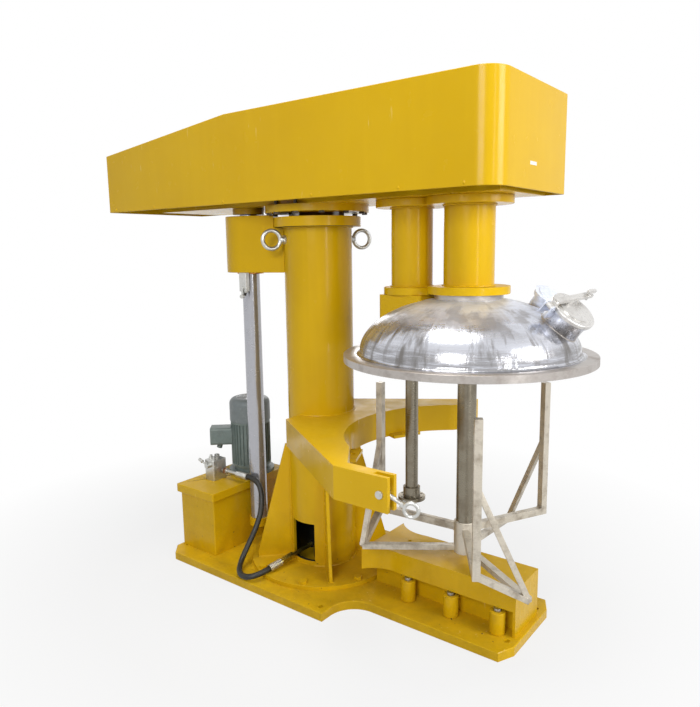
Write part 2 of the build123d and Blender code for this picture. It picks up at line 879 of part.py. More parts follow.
def bearings(x, shaft, bearing, low_z):
    """Upper and lower bearing of one shaft."""
    low = low_z + bearing_set_in
    high = beam_bottom - bearing_set_in
    inner = shaft + running_clearance
    lower = ring(bearing, inner, low, low + bearing_width, x, 0)
    upper = ring(bearing, inner, high - bearing_width, high, x, 0)
    return [lower, upper]


def vessel_lid():
    """Pressed vessel lid: flat rim with a turned-down lip under an elliptical dome."""
    outer = dome_solid(dome_radius, dome_height)
    inner = Pos(0, 0, -0.01) * dome_solid(dome_radius - dome_wall, dome_height - dome_wall)
    rim_low = lid_rim_top - lid_rim_plate
    rim = ring(lid_rim_radius, dome_radius - dome_wall, rim_low, lid_rim_top, main_x, 0)
    lip = ring(
        lid_rim_radius, lid_rim_radius - lid_rim_plate, lid_rim_top - lid_rim_lip, lid_rim_top,
        main_x, 0,
    )
    lid = outer - inner + rim + lip
    crown = lid_rim_top + dome_skirt + dome_height + 5
    lid -= cylinder(main_shaft_radius + seal_wall, lid_rim_top, crown, main_x, 0)
    lid -= cylinder(fast_shaft_radius + seal_wall, lid_rim_top, crown, fast_x, 0)
    for port, radius in ((charge_port, charge_neck_radius), (sight_port, sight_neck_radius)):
        lid -= extrude(port_plane(port) * Circle(radius - neck_wall), amount=60, both=True)
    return lid


def main_pad():
    """Round pad between the dome and the main housing."""
    pad = cylinder(main_pad_radius, lid_rim_top + dome_height / 2, main_low_flange_z, main_x, 0)
    pad -= dome_solid(dome_radius, dome_height)
    return pad - cylinder(main_shaft_radius + seal_wall, lid_rim_top, main_low_flange_z + 1, main_x, 0)


def fast_pad():
    """Square pad between the dome and the high-speed housing."""
    half = fast_pad_half
    pad = block(
        fast_x - half, fast_x + half, -half, half, lid_rim_top + dome_skirt, fast_low_flange_z
    )
    pad = fillet(pad.edges().filter_by(Axis.Z), 18)
    pad -= dome_solid(dome_radius, dome_height)
    return pad - cylinder(fast_shaft_radius + seal_wall, lid_rim_top, fast_low_flange_z + 1, fast_x, 0)


def shaft_seals():
    """Lip seals of both shafts in the pads under their housings."""
    main = ring(
        main_shaft_radius + seal_wall, main_shaft_radius + running_clearance,
        main_low_flange_z - seal_height, main_low_flange_z, main_x, 0,
    )
    fast = ring(
        fast_shaft_radius + seal_wall, fast_shaft_radius + running_clearance,
        fast_low_flange_z - seal_height, fast_low_flange_z, fast_x, 0,
    )
    return Compound([main, fast])


def port_neck(port, radius, length):
    """Pipe neck welded on the dome, with a small bead at its mouth."""
    wall = Circle(radius) - Circle(radius - neck_wall)
    neck = extrude(port_plane(port, -radius) * wall, amount=length + radius)
    bead = Circle(radius + 8) - Circle(radius - neck_wall)
    neck += extrude(port_plane(port, length - 8) * bead, amount=8)
    return neck - dome_solid(dome_radius, dome_height)


def charge_local(shape):
    """Shape moved from the charging cover's own frame to its place.

    In that frame z runs out along the port, y points to the hinge and x up the dome.
    """
    return port_plane(charge_port).location * Rot(0, 0, 90) * shape


def across_port(profile, start, end):
    """Profile drawn in the cover's y and z, extruded between two places on its x."""
    return Pos(clamp_bar_shift + start, 0, 0) * extrude(Plane.YZ * profile, amount=end - start)


def hinge_pin_place():
    """Height of the cover's hinge pin and its distance from the port's axis."""
    pin_y = charge_cover_radius + hinge_offset
    pin_z = charge_neck_length + cover_gap + charge_cover_thick / 2
    return pin_y, pin_z


def charge_hinge():
    """Two lugs and a pin on the charging port's near side, for its cover to swing on."""
    pin_y, pin_z = hinge_pin_place()
    foot_low = charge_neck_length - hinge_foot
    foot_high = charge_neck_length - cover_gap - 8
    inner = charge_neck_radius * 0.6
    lug_back = pin_y + hinge_eye_radius
    lug_front = pin_y - hinge_eye_radius
    foot = Pos((inner + lug_back) / 2, (foot_low + foot_high) / 2) * Rectangle(
        lug_back - inner, foot_high - foot_low
    )
    leg = Pos(pin_y, (foot_low + pin_z) / 2) * Rectangle(lug_back - lug_front, pin_z - foot_low)
    profile = foot + leg + Pos(pin_y, pin_z) * Circle(hinge_eye_radius)
    near = hinge_ear_width / 2 + 1
    far = near + hinge_lug_thick
    lugs = across_port(profile, near, far) + across_port(profile, -far, -near)
    pin = across_port(Pos(pin_y, pin_z) * Circle(hinge_pin_radius), -far - 3, far + 3)
    return charge_local(lugs + pin - cylinder(charge_neck_radius - 1, 0, charge_neck_length))


def charge_cover():
    """Dished cover of the charging port with its hinge ear, clamp bar and wing knob."""
    low = charge_neck_length + cover_gap
    high = low + charge_cover_thick
    pin_y, pin_z = hinge_pin_place()
    half = hinge_ear_width / 2
    shift = clamp_bar_shift
    disc = cylinder(charge_cover_radius, low, high)
    disc = fillet(disc.faces().sort_by(Axis.Z)[-1].edges(), 4)
    disc += cylinder(charge_cover_radius * 0.72, high, high + 4)
    ear = block(shift - half, shift + half, charge_cover_radius * 0.6, pin_y, low, high)
    ear += across_port(Pos(pin_y, pin_z) * Circle(hinge_eye_radius - 2), -half, half)
    bar_end = -charge_cover_radius - clamp_bar_overhang
    near_z = high + clamp_bar_thick
    far_z = near_z + clamp_bar_rise
    bar = bar_between((shift, pin_y - 20, near_z), (shift, bar_end, far_z), 22, clamp_bar_thick)
    post = block(shift - 11, shift + 11, pin_y - 32, pin_y - 12, high - 4, near_z)
    boss = cylinder(14, high, (near_z + far_z) / 2, shift, 0)
    knob_y = bar_end + 16
    knob = cylinder(8, far_z - 22, far_z + 20, shift, knob_y)
    wing = block(shift - 5, shift + 5, knob_y - 24, knob_y + 24, far_z + 12, far_z + 26)
    knob += fillet(wing.edges().filter_by(Axis.X), 5)
    bore = across_port(Pos(pin_y, pin_z) * Circle(hinge_pin_radius + running_clearance), -50, 50)
    return charge_local(disc + ear + bar + post + boss + knob - bore)


def sight_cap():
    """Blank cap of the small port."""
    cap = extrude(port_plane(sight_port, sight_neck_length) * Circle(sight_cap_radius), amount=sight_cap_thick)
    raised = port_plane(sight_port, sight_neck_length + sight_cap_thick)
    return cap + extrude(raised * Circle(sight_cap_radius * 0.7), amount=4)


def paddle_frame():
    """Three-armed anchor frame: upright bars, toes and braces welded to one hub."""
    hub = cylinder(paddle_hub_radius, paddle_hub_bottom, paddle_hub_top, main_x, 0)
    frame = hub
    for index in range(paddle_arm_count):
        turn = paddle_angle + 360.0 * index / paddle_arm_count
        foot = polar(paddle_radius, turn, paddle_foot_z) + Vector(main_x, 0, 0)
        toe = polar(paddle_toe_radius, turn + paddle_toe_lead, paddle_toe_z) + Vector(main_x, 0, 0)
        hub_high = polar(paddle_hub_radius * 0.5, turn, paddle_foot_z) + Vector(main_x, 0, 0)
        hub_low = polar(paddle_hub_radius * 0.5, turn + paddle_toe_lead, paddle_hub_bottom + 18)
        hub_low = hub_low + Vector(main_x, 0, 0)
        crown = Vector(foot.X, foot.Y, paddle_top_z)
        brace = Vector(foot.X, foot.Y, paddle_brace_z)
        below = Vector(foot.X, foot.Y, paddle_foot_z - paddle_bar / 2)
        upright = bar_between(tuple(below), tuple(crown), paddle_bar, paddle_bar)
        frame += upright
        frame += bar_between(tuple(hub_high), tuple(foot), paddle_bar, paddle_bar)
        frame += bar_between(tuple(hub_low), tuple(toe), paddle_bar, paddle_brace_bar)
        frame += bar_between(tuple(foot), tuple(toe), paddle_bar, paddle_brace_bar)
        frame += bar_between(tuple(brace), tuple(toe), paddle_brace_bar, paddle_brace_bar)
    frame -= cylinder(main_shaft_radius, main_shaft_bottom, paddle_hub_top + 1, main_x, 0)
    return frame


def fast_hub():
    """Clamp hub for a mixing disc on the high-speed shaft's end."""
    low = fast_shaft_bottom - fast_hub_height / 2
    body = cylinder(fast_shaft_radius + 10, low, low + fast_hub_height, fast_x, 0)
    plate = cylinder(fast_hub_radius, low, low + 14, fast_x, 0)
    hub = body + plate
    hub -= cylinder(fast_shaft_radius, fast_shaft_bottom, low + fast_hub_height + 1, fast_x, 0)
    for x, y in around(6, fast_hub_radius - 11, 0, fast_x, 0):
        hub -= cylinder(5, low - 1, low + 20, x, y)
    return hub


def oil_tank():
    """Open-topped oil tank of bent sheet."""
    outer = block(tank_back, tank_front, tank_near, tank_far, floor_top, tank_top)
    outer = fillet(outer.edges().filter_by(Axis.Z), 6)
    inner = block(
        tank_back + tank_wall, tank_front - tank_wall, tank_near + tank_wall, tank_far - tank_wall,
        floor_top + tank_wall, tank_top + 1,
    )
    return outer - inner


def tank_lid():
    """Tank lid with turned-down edges that hang over the tank."""
    over = lid_overhang
    lid = block(
        tank_back - over, tank_front + over, tank_near - over, tank_far + over,
        tank_top - lid_skirt, tank_lid_top,
    )
    lid = fillet(lid.edges().filter_by(Axis.Z), 8)
    gap = 1.0
    lid -= block(
        tank_back - gap, tank_front + gap, tank_near - gap, tank_far + gap,
        tank_top - lid_skirt - 1, tank_top,
    )
    return lid - cylinder(pump_radius + 3, tank_top - 1, tank_lid_top + 1, motor_x, motor_y)


def pump_motor():
    """Upright pump motor: flange, finned body and end shield."""
    low = tank_lid_top
    flange = cylinder(motor_flange_radius, low, low + motor_flange_thick, motor_x, motor_y)
    bell = cylinder(motor_radius - 14, low, low + motor_bell_height, motor_x, motor_y)
    body_low = low + motor_bell_height
    body_high = body_low + motor_body_height
    body = cylinder(motor_radius - motor_fin_height, body_low, body_high, motor_x, motor_y)
    fins = []
    fin = Pos(motor_radius - motor_fin_height, 0) * Rectangle(2 * motor_fin_height, motor_fin_thick)
    for index in range(motor_fin_count):
        fins.append(Rot(0, 0, 360 * index / motor_fin_count) * fin)
    comb = Circle(motor_radius - motor_fin_height)
    for piece in fins:
        comb = comb + piece
    body = Pos(motor_x, motor_y, body_low + 12) * extrude(comb, amount=motor_body_height - 24)
    ends = cylinder(motor_radius, body_low, body_low + 12, motor_x, motor_y)
    ends += cylinder(motor_radius, body_high - 12, body_high, motor_x, motor_y)
    return flange + bell + body + ends


def fan_cover():
    """Domed fan cover on the pump motor's top."""
    low = tank_lid_top + motor_bell_height + motor_body_height
    cover = cylinder(motor_radius + 3, low, low + fan_cover_height, motor_x, motor_y)
    top = cover.faces().sort_by(Axis.Z)[-1].edges()
    return fillet(top, 34)


def gear_pump():
    """Gear pump that hangs from the motor into the oil."""
    return cylinder(pump_radius, tank_top - pump_length, tank_lid_top, motor_x, motor_y)


def terminal_box():
    """Terminal box on the side of the pump motor, with its cable gland."""
    depth, width, height = terminal_box_size
    heading = 222.0
    reach = motor_radius - motor_fin_height + depth / 2
    box = Box(depth, width, height)
    box = fillet(box.edges().filter_by(Axis.X), 14)
    box = Pos(reach, 0, 0) * box
    gland_plane = Plane(origin=(reach + 10, 0, -height / 2), z_dir=(0.3, 0, -1), x_dir=(1, 0, 0))
    gland = extrude(gland_plane * Circle(15), amount=26)
    gland += extrude(gland_plane * Circle(15), amount=-8)
    box = box + gland - cylinder(motor_radius + 0.3, -height, height)
    return Pos(motor_x, motor_y, terminal_box_z) * Rot(0, 0, heading) * box


def valve_block():
    """Valve block on the tank lid that feeds and drains the lift."""
    width, depth, height = valve_size
    body = block(
        valve_x - width / 2, valve_x + width / 2, valve_y - depth / 2, valve_y + depth / 2,
        tank_lid_top, tank_lid_top + height,
    )
    body = chamfer(body.edges().filter_by(Axis.Z), 5)
    knob = cylinder(14, tank_lid_top + height, tank_lid_top + height + 16, valve_x - 12, valve_y + 22)
    return body + knob - valve_spindle(spindle_radius + running_clearance, spindle_depth + 1, 1)


def valve_spindle(radius, depth, reach):
    """Spindle of the hand lever, into the valve block's near face and out of it."""
    face_y = valve_y - valve_size[1] / 2
    z = tank_lid_top + valve_size[2] - 26
    return rod_between((valve_x, face_y + depth, z), (valve_x, face_y - reach, z), radius)


def valve_lever():
    """Hand lever that lowers the lift, on the valve block's near face."""
    face_y = valve_y - valve_size[1] / 2
    z = tank_lid_top + valve_size[2] - 26
    hub = rod_between((valve_x, face_y - 0.3, z), (valve_x, face_y - 20, z), 13)
    arm = rod_between((valve_x, face_y - 11, z), (valve_x - 52, face_y - 11, z + 22), 5)
    grip = rod_between((valve_x - 38, face_y - 11, z + 16), (valve_x - 62, face_y - 11, z + 26), 9)
    return hub + arm + grip + valve_spindle(spindle_radius, spindle_depth, 8)


def hose_outlet():
    """Pipe and crimped fitting from the valve block to the hose."""
    start_x = valve_x + valve_size[0] / 2
    crimp = outlet_end - ferrule_length
    pipe = rod_between((start_x, outlet_y, outlet_height), (crimp, outlet_y, outlet_height), 10)
    hexagon = Plane(origin=(start_x + 8, outlet_y, outlet_height), z_dir=(1, 0, 0))
    nut = extrude(hexagon * RegularPolygon(17, 6), amount=24)
    sleeve = rod_between(
        (crimp, outlet_y, outlet_height), (outlet_end, outlet_y, outlet_height), ferrule_radius
    )
    return pipe + nut + sleeve


def inlet_pipe():
    """Rigid pipe, coupling and crimped sleeve from the hose to the lift cylinder."""
    along = inlet_direction()
    start = Vector(*inlet_start)
    bend = start + along * inlet_pipe_length
    joint = bend + along * coupling_length
    end = joint + along * ferrule_length
    pipe = rod_between(tuple(start), tuple(bend), inlet_pipe_radius)
    hexagon = Plane(origin=bend, z_dir=along)
    coupling = extrude(hexagon * RegularPolygon(coupling_radius, 6), amount=coupling_length)
    sleeve = rod_between(tuple(joint), tuple(end), ferrule_radius)
    return pipe + coupling + sleeve


def hose_points():
    """Hand-chosen route of the hose from the tank's fitting to the inlet's sleeve."""
    along = inlet_direction()
    run = inlet_pipe_length + coupling_length + ferrule_length
    end = Vector(*inlet_start) + along * run
    return [
        Vector(outlet_end, outlet_y, outlet_height),
        Vector(outlet_end + 67, outlet_y, outlet_height),
        Vector(-266, -170, outlet_height - 53),
        Vector(-240, -203, 291),
        Vector(-238, -250, 210),
        Vector(-243, -302, 140),
        Vector(-232, -364, 84),
        Vector(-185, -hose_reach + 13, hose_low),
        Vector(-120, -hose_reach, hose_low),
        Vector(end.X + along.X * 62, end.Y + along.Y * 62, end.Z + along.Z * 62),
        end,
    ]


def hydraulic_hose():
    """Hose as straight runs joined by tangent arcs."""
    points = hose_points()
    runs = [points[i + 1] - points[i] for i in range(len(points) - 1)]
    radii = []
    for first, second in zip(runs, runs[1:]):
        turn = math.radians(first.get_angle(second))
        radii.append(0.45 * min(first.length, second.length) / math.tan(turn / 2))
    path = FilletPolyline(*points, radius=radii)
    section = Plane(origin=points[0], z_dir=runs[0]) * Circle(hose_radius)
    tube = sweep(section, path=path)
    expected = math.pi * hose_radius ** 2 * path.length
    print("hose radii", [round(r) for r in radii], "length", round(path.length))
    print("hose volume ratio", round(tube.volume / expected, 4))
    return tube


def switch_place():
    """Centre of the limit switch on the bracket's underside."""
    heading = math.radians(rod_heading)
    along = Vector(math.cos(heading), math.sin(heading), 0)
    across = Vector(math.sin(heading), -math.cos(heading), 0)
    if across.Y > 0:
        across = across * -1
    return along * (rod_offset - 14) + across * switch_offset


def limit_switch():
    """Top-of-stroke switch hung under the rod bracket."""
    place = switch_place()
    depth, width, height = switch_size
    body = Box(width, depth, height)
    body = fillet(body.edges().filter_by(Axis.Z), 4)
    body = Pos(0, 0, -height / 2) * body
    nose = Pos(0, 0, -height - 4) * Box(width * 0.6, depth * 0.8, 8)
    whole = body + nose - switch_spindle(switch_spindle_radius + running_clearance, 11)
    return Pos(place.X, place.Y, bracket_bottom) * Rot(0, 0, rod_heading) * whole


def switch_spindle(radius, depth):
    """Spindle of the roller lever, in the limit switch's own frame."""
    side = switch_size[0] / 2
    z = 16 - switch_size[2]
    return rod_between((0, side - depth, z), (0, side + 8, z), radius)


def switch_lever():
    """Roller lever of the limit switch."""
    place = switch_place()
    depth = switch_size[0]
    pivot_z = -switch_size[2] + 16
    side = depth / 2
    plane = Plane(origin=(0, side + 0.3, pivot_z), z_dir=(0, 1, 0), x_dir=(1, 0, 0))
    hub = extrude(plane * Circle(8), amount=10)
    arm = Pos(0, side + 5.3, pivot_z - switch_lever_length / 2) * Box(10, 5, switch_lever_length)
    roller_plane = Plane(
        origin=(0, side + 1.3, pivot_z - switch_lever_length), z_dir=(0, 1, 0), x_dir=(1, 0, 0)
    )
    roller = extrude(roller_plane * Circle(10), amount=14)
    lever = hub + arm + roller + switch_spindle(switch_spindle_radius, 10)
    return Pos(place.X, place.Y, bracket_bottom) * Rot(0, 0, rod_heading) * lever


def drive_motor(side):
    """Flat upright drive motor on the beam, under the guard."""
    y = side * drive_motor_y
    body = cylinder(drive_motor_radius, beam_top, beam_top + drive_motor_height, drive_motor_x, y)
    body = fillet(body.faces().sort_by(Axis.Z)[-1].edges(), 12)
    bore = motor_shaft_radius + 2
    return body - cylinder(bore, beam_top + 60, beam_top + drive_motor_height + 1, drive_motor_x, y)


def motor_rotor(side, pulley_radius, belt_z):
    """Motor shaft with its belt pulley."""
    y = side * drive_motor_y
    shaft = cylinder(motor_shaft_radius, beam_top + 62, belt_z + belt_width, drive_motor_x, y)
    return shaft + cylinder(pulley_radius, belt_z, belt_z + belt_width, drive_motor_x, y)


def pulley(x, radius, shaft, belt_z):
    """Driven pulley keyed to a shaft."""
    wheel = ring(radius, shaft, belt_z, belt_z + belt_width, x, 0)
    if radius > 2 * shaft:
        for px, py in around(5, (radius + shaft) / 2, 0, x, 0):
            wheel -= cylinder((radius - shaft) / 4, belt_z - 1, belt_z + belt_width + 1, px, py)
    return wheel


def drive_belt(x, radius, side, motor_pulley, belt_z):
    """Belt loop round a driven pulley and its motor pulley."""
    y = side * drive_motor_y
    loops = []
    for grow in (belt_gap + belt_thick, belt_gap):
        a = Pos(x, 0) * Circle(radius + grow)
        b = Pos(drive_motor_x, y) * Circle(motor_pulley + grow)
        loops.append(make_hull(a.edges() + b.edges()))
    return Pos(0, 0, belt_z + 2) * extrude(loops[0] - loops[1], amount=belt_width - 4)


def upright_shaft(x, radius, bottom, top):
    """Plain mixing shaft with a small chamfer at each end."""
    shaft = cylinder(radius, bottom, top, x, 0)
    return chamfer(shaft.edges().filter_by(GeomType.CIRCLE), 2)


def build():
    """All nodes by name."""
    nodes = {
        "base_plate": base_plate(),
        "column": column(),
        "column_gussets": gussets(),
        "foot_bolts": foot_bolts(),
        "column_bushes": column_bushes(),
        "cylinder_barrel": cylinder_barrel(),
        "clamp_yoke": clamp_yoke(),
        "clevis_pin": clevis_pin(),
        "swing_bolt": swing_bolt(),
        "leg_box": leg_box_with_pockets(),
        "roller_pins": roller_pins(),
        "rod_bracket": rod_bracket(),
        "rod_bush": rod_bush(),
        "lifting_eyes": lifting_eyes(),
        "limit_switch": limit_switch(),
        "switch_lever": switch_lever(),
        "oil_tank": oil_tank(),
        "tank_lid": tank_lid(),
        "gear_pump": gear_pump(),
        "pump_motor": pump_motor(),
        "motor_fan_cover": fan_cover(),
        "terminal_box": terminal_box(),
        "valve_block": valve_block(),
        "valve_lever": valve_lever(),
        "hose_outlet": hose_outlet(),
        "hydraulic_hose": hydraulic_hose(),
        "inlet_pipe": inlet_pipe(),
        "lift_tube": lift_tube(),
        "lift_ram": lift_ram(),
        "beam": beam(),
        "beam_bolts": beam_bolts(),
        "guard_crossbars": guard_crossbars(),
        "belt_guard": belt_guard(),
        "guide_rod": guide_rod(),
        "rod_collar": rod_collar(),
        "main_housing": shaft_housing(
            main_x, main_housing_radius, main_bearing_radius, main_top_flange, main_low_flange,
            main_low_flange_z, True,
        ),
        "fast_housing": shaft_housing(
            fast_x, fast_housing_radius, fast_bearing_radius, fast_top_flange, fast_low_flange,
            fast_low_flange_z, False,
        ),
        "shaft_bearings": Compound(
            bearings(main_x, main_shaft_radius, main_bearing_radius, main_low_flange_z)
            + bearings(fast_x, fast_shaft_radius, fast_bearing_radius, fast_low_flange_z)
        ),
        "vessel_lid": vessel_lid(),
        "lid_pads": Compound([main_pad(), fast_pad()]),
        "shaft_seals": shaft_seals(),
        "port_necks": Compound([
            port_neck(charge_port, charge_neck_radius, charge_neck_length) + charge_hinge(),
            port_neck(sight_port, sight_neck_radius, sight_neck_length),
        ]),
        "charge_cover": charge_cover(),
        "sight_cap": sight_cap(),
        "drive_motors": Compound([drive_motor(-1), drive_motor(1)]),
        "slow_rotor": motor_rotor(-1, main_motor_pulley_radius, slow_belt_z),
        "fast_rotor": motor_rotor(1, fast_motor_pulley_radius, fast_belt_z),
        "drive_belts": Compound([
            drive_belt(main_x, main_pulley_radius, -1, main_motor_pulley_radius, slow_belt_z),
            drive_belt(fast_x, fast_pulley_radius, 1, fast_motor_pulley_radius, fast_belt_z),
        ]),
        "main_shaft": upright_shaft(
            main_x, main_shaft_radius, main_shaft_bottom, main_shaft_top
        ),
        "main_pulley": pulley(main_x, main_pulley_radius, main_shaft_radius, slow_belt_z),
        "paddle_frame": paddle_frame(),
        "fast_shaft": upright_shaft(
            fast_x, fast_shaft_radius, fast_shaft_bottom, fast_shaft_top
        ),
        "fast_pulley": pulley(fast_x, fast_pulley_radius, fast_shaft_radius, fast_belt_z),
        "fast_hub": fast_hub(),
    }
    return nodes


def main():
    """Write one STEP file for each node."""
    os.makedirs("parts", exist_ok=True)
    nodes = build()
    for index, (x, y) in enumerate(roller_places(), start=1):
        nodes["guide_roller_" + str(index)] = guide_roller(x, y)
    for name, shape in nodes.items():
        export_step(shape, "parts/" + name + ".step")
    print(len(nodes), "nodes")


main()
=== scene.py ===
import json
import math

import bmesh
import bpy
import numpy as np
from mathutils import Matrix, Vector


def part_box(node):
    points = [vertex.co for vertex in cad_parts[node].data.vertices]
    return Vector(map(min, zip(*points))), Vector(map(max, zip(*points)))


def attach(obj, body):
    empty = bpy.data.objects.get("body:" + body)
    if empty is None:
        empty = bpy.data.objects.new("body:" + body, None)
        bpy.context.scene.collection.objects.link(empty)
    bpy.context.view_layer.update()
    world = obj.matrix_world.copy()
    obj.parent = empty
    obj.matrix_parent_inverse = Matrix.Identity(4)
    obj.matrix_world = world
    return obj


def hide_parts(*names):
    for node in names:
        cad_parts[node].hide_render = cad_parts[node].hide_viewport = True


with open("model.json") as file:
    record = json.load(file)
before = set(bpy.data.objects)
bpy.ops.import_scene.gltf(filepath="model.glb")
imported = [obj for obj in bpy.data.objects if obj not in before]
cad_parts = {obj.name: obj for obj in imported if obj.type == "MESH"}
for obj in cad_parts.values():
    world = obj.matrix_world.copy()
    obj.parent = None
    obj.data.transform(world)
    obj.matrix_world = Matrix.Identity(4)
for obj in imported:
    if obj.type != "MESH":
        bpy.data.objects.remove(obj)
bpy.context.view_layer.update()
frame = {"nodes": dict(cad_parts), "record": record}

record = frame["record"]
body_of_node = {n: b for b, names in record["behaviour"]["bodies"].items() for n in names}
slot_of_node = {part["node"]: part["material_slot"] for part in record["subparts"]}

# Places and sizes that several pieces share, in metres

main_x, fast_x = 0.803, 0.53  # the two shafts, from the column's axis
dome_foot, dome_radius, dome_rise = 1.178, 0.45, 0.225
column_seam, foot_seam = 0.1645, 0.0605  # radius and height of the weld beads on the column
outlet_y, outlet_z = -0.155, 0.425  # the line of the tank's hose fitting
motor = (-0.556, 0.042)
hose_thickness = 0.027
weld_gap = 0.0022  # between the points of a weld bead
grain_depth = 0.0004  # relief of worked metal

# Shader helpers

surface = [("Color", "NodeSocketColor"), ("Roughness", "NodeSocketFloat"), ("Height", "NodeSocketFloat")]


def shade(red, green, blue):
    """A screen colour, 0 to 255, as the linear colour that a socket takes."""
    linear = [
        v / 255 / 12.92 if v < 11 else ((v / 255 + 0.055) / 1.055) ** 2.4
        for v in (red, green, blue)
    ]
    return (*linear, 1.0)


def add(tree, kind, sockets=None, **settings):
    """A node of that kind with its settings, and its sockets set or linked."""
    made = tree.nodes.new(kind)
    for key, value in settings.items():
        setattr(made, key, value)
    for key, value in (sockets or {}).items():
        if isinstance(value, bpy.types.NodeSocket):
            tree.links.new(value, made.inputs[key])
        else:
            made.inputs[key].default_value = value
    return made


def new_group(name, inputs, outputs=surface):
    """An empty shader group with those input and output sockets."""
    tree = bpy.data.node_groups.new(name, "ShaderNodeTree")
    for label, kind, value in inputs:
        socket = tree.interface.new_socket(name=label, in_out="INPUT", socket_type=kind)
        socket.default_value = value
    for label, kind in outputs:
        tree.interface.new_socket(name=label, in_out="OUTPUT", socket_type=kind)
    return tree, tree.nodes.new("NodeGroupInput").outputs, tree.nodes.new("NodeGroupOutput").inputs


def give(tree, out, **values):
    """Links each value to the group's output socket of that name."""
    for label, value in values.items():
        tree.links.new(value, out[label])


def noise(tree, place, scale, detail=3.0, rough=0.55):
    """Noise value at a place."""
    sockets = {"Vector": place, "Scale": scale, "Detail": detail, "Roughness": rough}
    return add(tree, "ShaderNodeTexNoise", sockets).outputs["Fac"]


def spread(tree, value, low, high, new_low=0.0, new_high=1.0):
    """A value mapped from one range to another, held at its ends."""
    sockets = {"Value": value, "From Min": low, "From Max": high, "To Min": new_low, "To Max": new_high}
    return add(tree, "ShaderNodeMapRange", sockets).outputs["Result"]


def maths(tree, operation, first, second):
    """One arithmetic step."""
    return add(tree, "ShaderNodeMath", {0: first, 1: second}, operation=operation).outputs[0]


def times(tree, first, second):
    """One value times another."""
    return maths(tree, "MULTIPLY", first, second)


def plus(tree, first, second):
    """One value added to another."""
    return maths(tree, "ADD", first, second)


def blend_colours(tree, amount, first, second, way="MIX"):
    """Two colours mixed by an amount."""
    made = add(tree, "ShaderNodeMix", data_type="RGBA", blend_type=way)
    for label, value in (("Factor", amount), ("A", first), ("B", second)):
        if isinstance(value, bpy.types.NodeSocket):
            tree.links.new(value, made.inputs[label])
        else:
            made.inputs[label].default_value = value
    return made.outputs["Result"]


def stretched(tree, place, scale):
    """A place scaled by a different amount along each axis."""
    return add(tree, "ShaderNodeMapping", {"Vector": place, "Scale": scale}).outputs["Vector"]


def object_place(tree):
    """The place on the piece, in the shared frame."""
    return add(tree, "ShaderNodeTexCoord").outputs["Object"]


def split(tree, vector):
    """The X, Y and Z of a vector."""
    return add(tree, "ShaderNodeSeparateXYZ", {0: vector}).outputs


# Finishes that several materials share

def enamel_group():
    """Sprayed enamel: cloudy shade and runs, dirt and chips near the floor, dust on level faces,
    long scuffs, orange peel, and the slow waves of the sheet under it."""
    inputs = [("Paint", "NodeSocketColor", (0.6, 0.4, 0.03, 1)), ("Worn", "NodeSocketFloat", 1.0)]
    tree, given, out = new_group("sprayed enamel", inputs)
    worn = given["Worn"]
    place = object_place(tree)
    upward = split(tree, add(tree, "ShaderNodeNewGeometry").outputs["Normal"])["Z"]
    cloud = spread(tree, noise(tree, place, 2.3, 4), 0.3, 0.7)
    colour = blend_colours(tree, times(tree, cloud, 0.32), given["Paint"], shade(200, 154, 4))
    runs = noise(tree, stretched(tree, place, (9, 9, 0.9)), 1.6, 3)
    colour = blend_colours(tree, spread(tree, runs, 0.5, 0.75, 0, 0.2), colour, shade(230, 190, 26))
    low = spread(tree, split(tree, place)["Z"], 0.02, 0.42, 1.0, 0.0)
    dirt = times(tree, low, spread(tree, noise(tree, place, 7, 6, 0.7), 0.38, 0.68))
    dirt = times(tree, dirt, worn)
    colour = blend_colours(tree, times(tree, dirt, 0.34), colour, shade(118, 88, 20))
    flat = spread(tree, upward, 0.75, 0.98)
    dust = times(tree, flat, spread(tree, noise(tree, place, 11, 5, 0.7), 0.35, 0.7))
    dust = times(tree, dust, worn)
    colour = blend_colours(tree, times(tree, dust, 0.16), colour, shade(172, 150, 70))
    lines = noise(tree, stretched(tree, place, (60, 60, 7)), 1.0, 5, 0.6)
    patch = spread(tree, noise(tree, place, 3.1, 2), 0.52, 0.62)
    scuff = times(tree, spread(tree, lines, 0.665, 0.70), patch)
    scuff = times(tree, scuff, worn)
    colour = blend_colours(tree, times(tree, scuff, 0.6), colour, shade(238, 214, 132))
    chips = spread(tree, noise(tree, place, 46, 3, 0.6), 0.70, 0.72)
    chips = times(tree, chips, times(tree, low, worn))
    colour = blend_colours(tree, chips, colour, shade(74, 58, 40))
    peel = noise(tree, place, 210, 2, 0.4)
    waves = noise(tree, place, 5.5, 2, 0.4)
    height = plus(tree, times(tree, peel, 0.10), times(tree, waves, 1.6))
    height = maths(tree, "SUBTRACT", height, times(tree, chips, 0.3))
    rough = spread(tree, noise(tree, place, 17, 4), 0.3, 0.7, 0.16, 0.28)
    rough = plus(tree, rough, times(tree, maths(tree, "MAXIMUM", dirt, dust), 0.25))
    rough = plus(tree, rough, times(tree, flat, 0.16))
    rough = plus(tree, rough, times(tree, scuff, 0.2))
    give(tree, out, Color=colour, Roughness=rough, Height=height)
    return tree


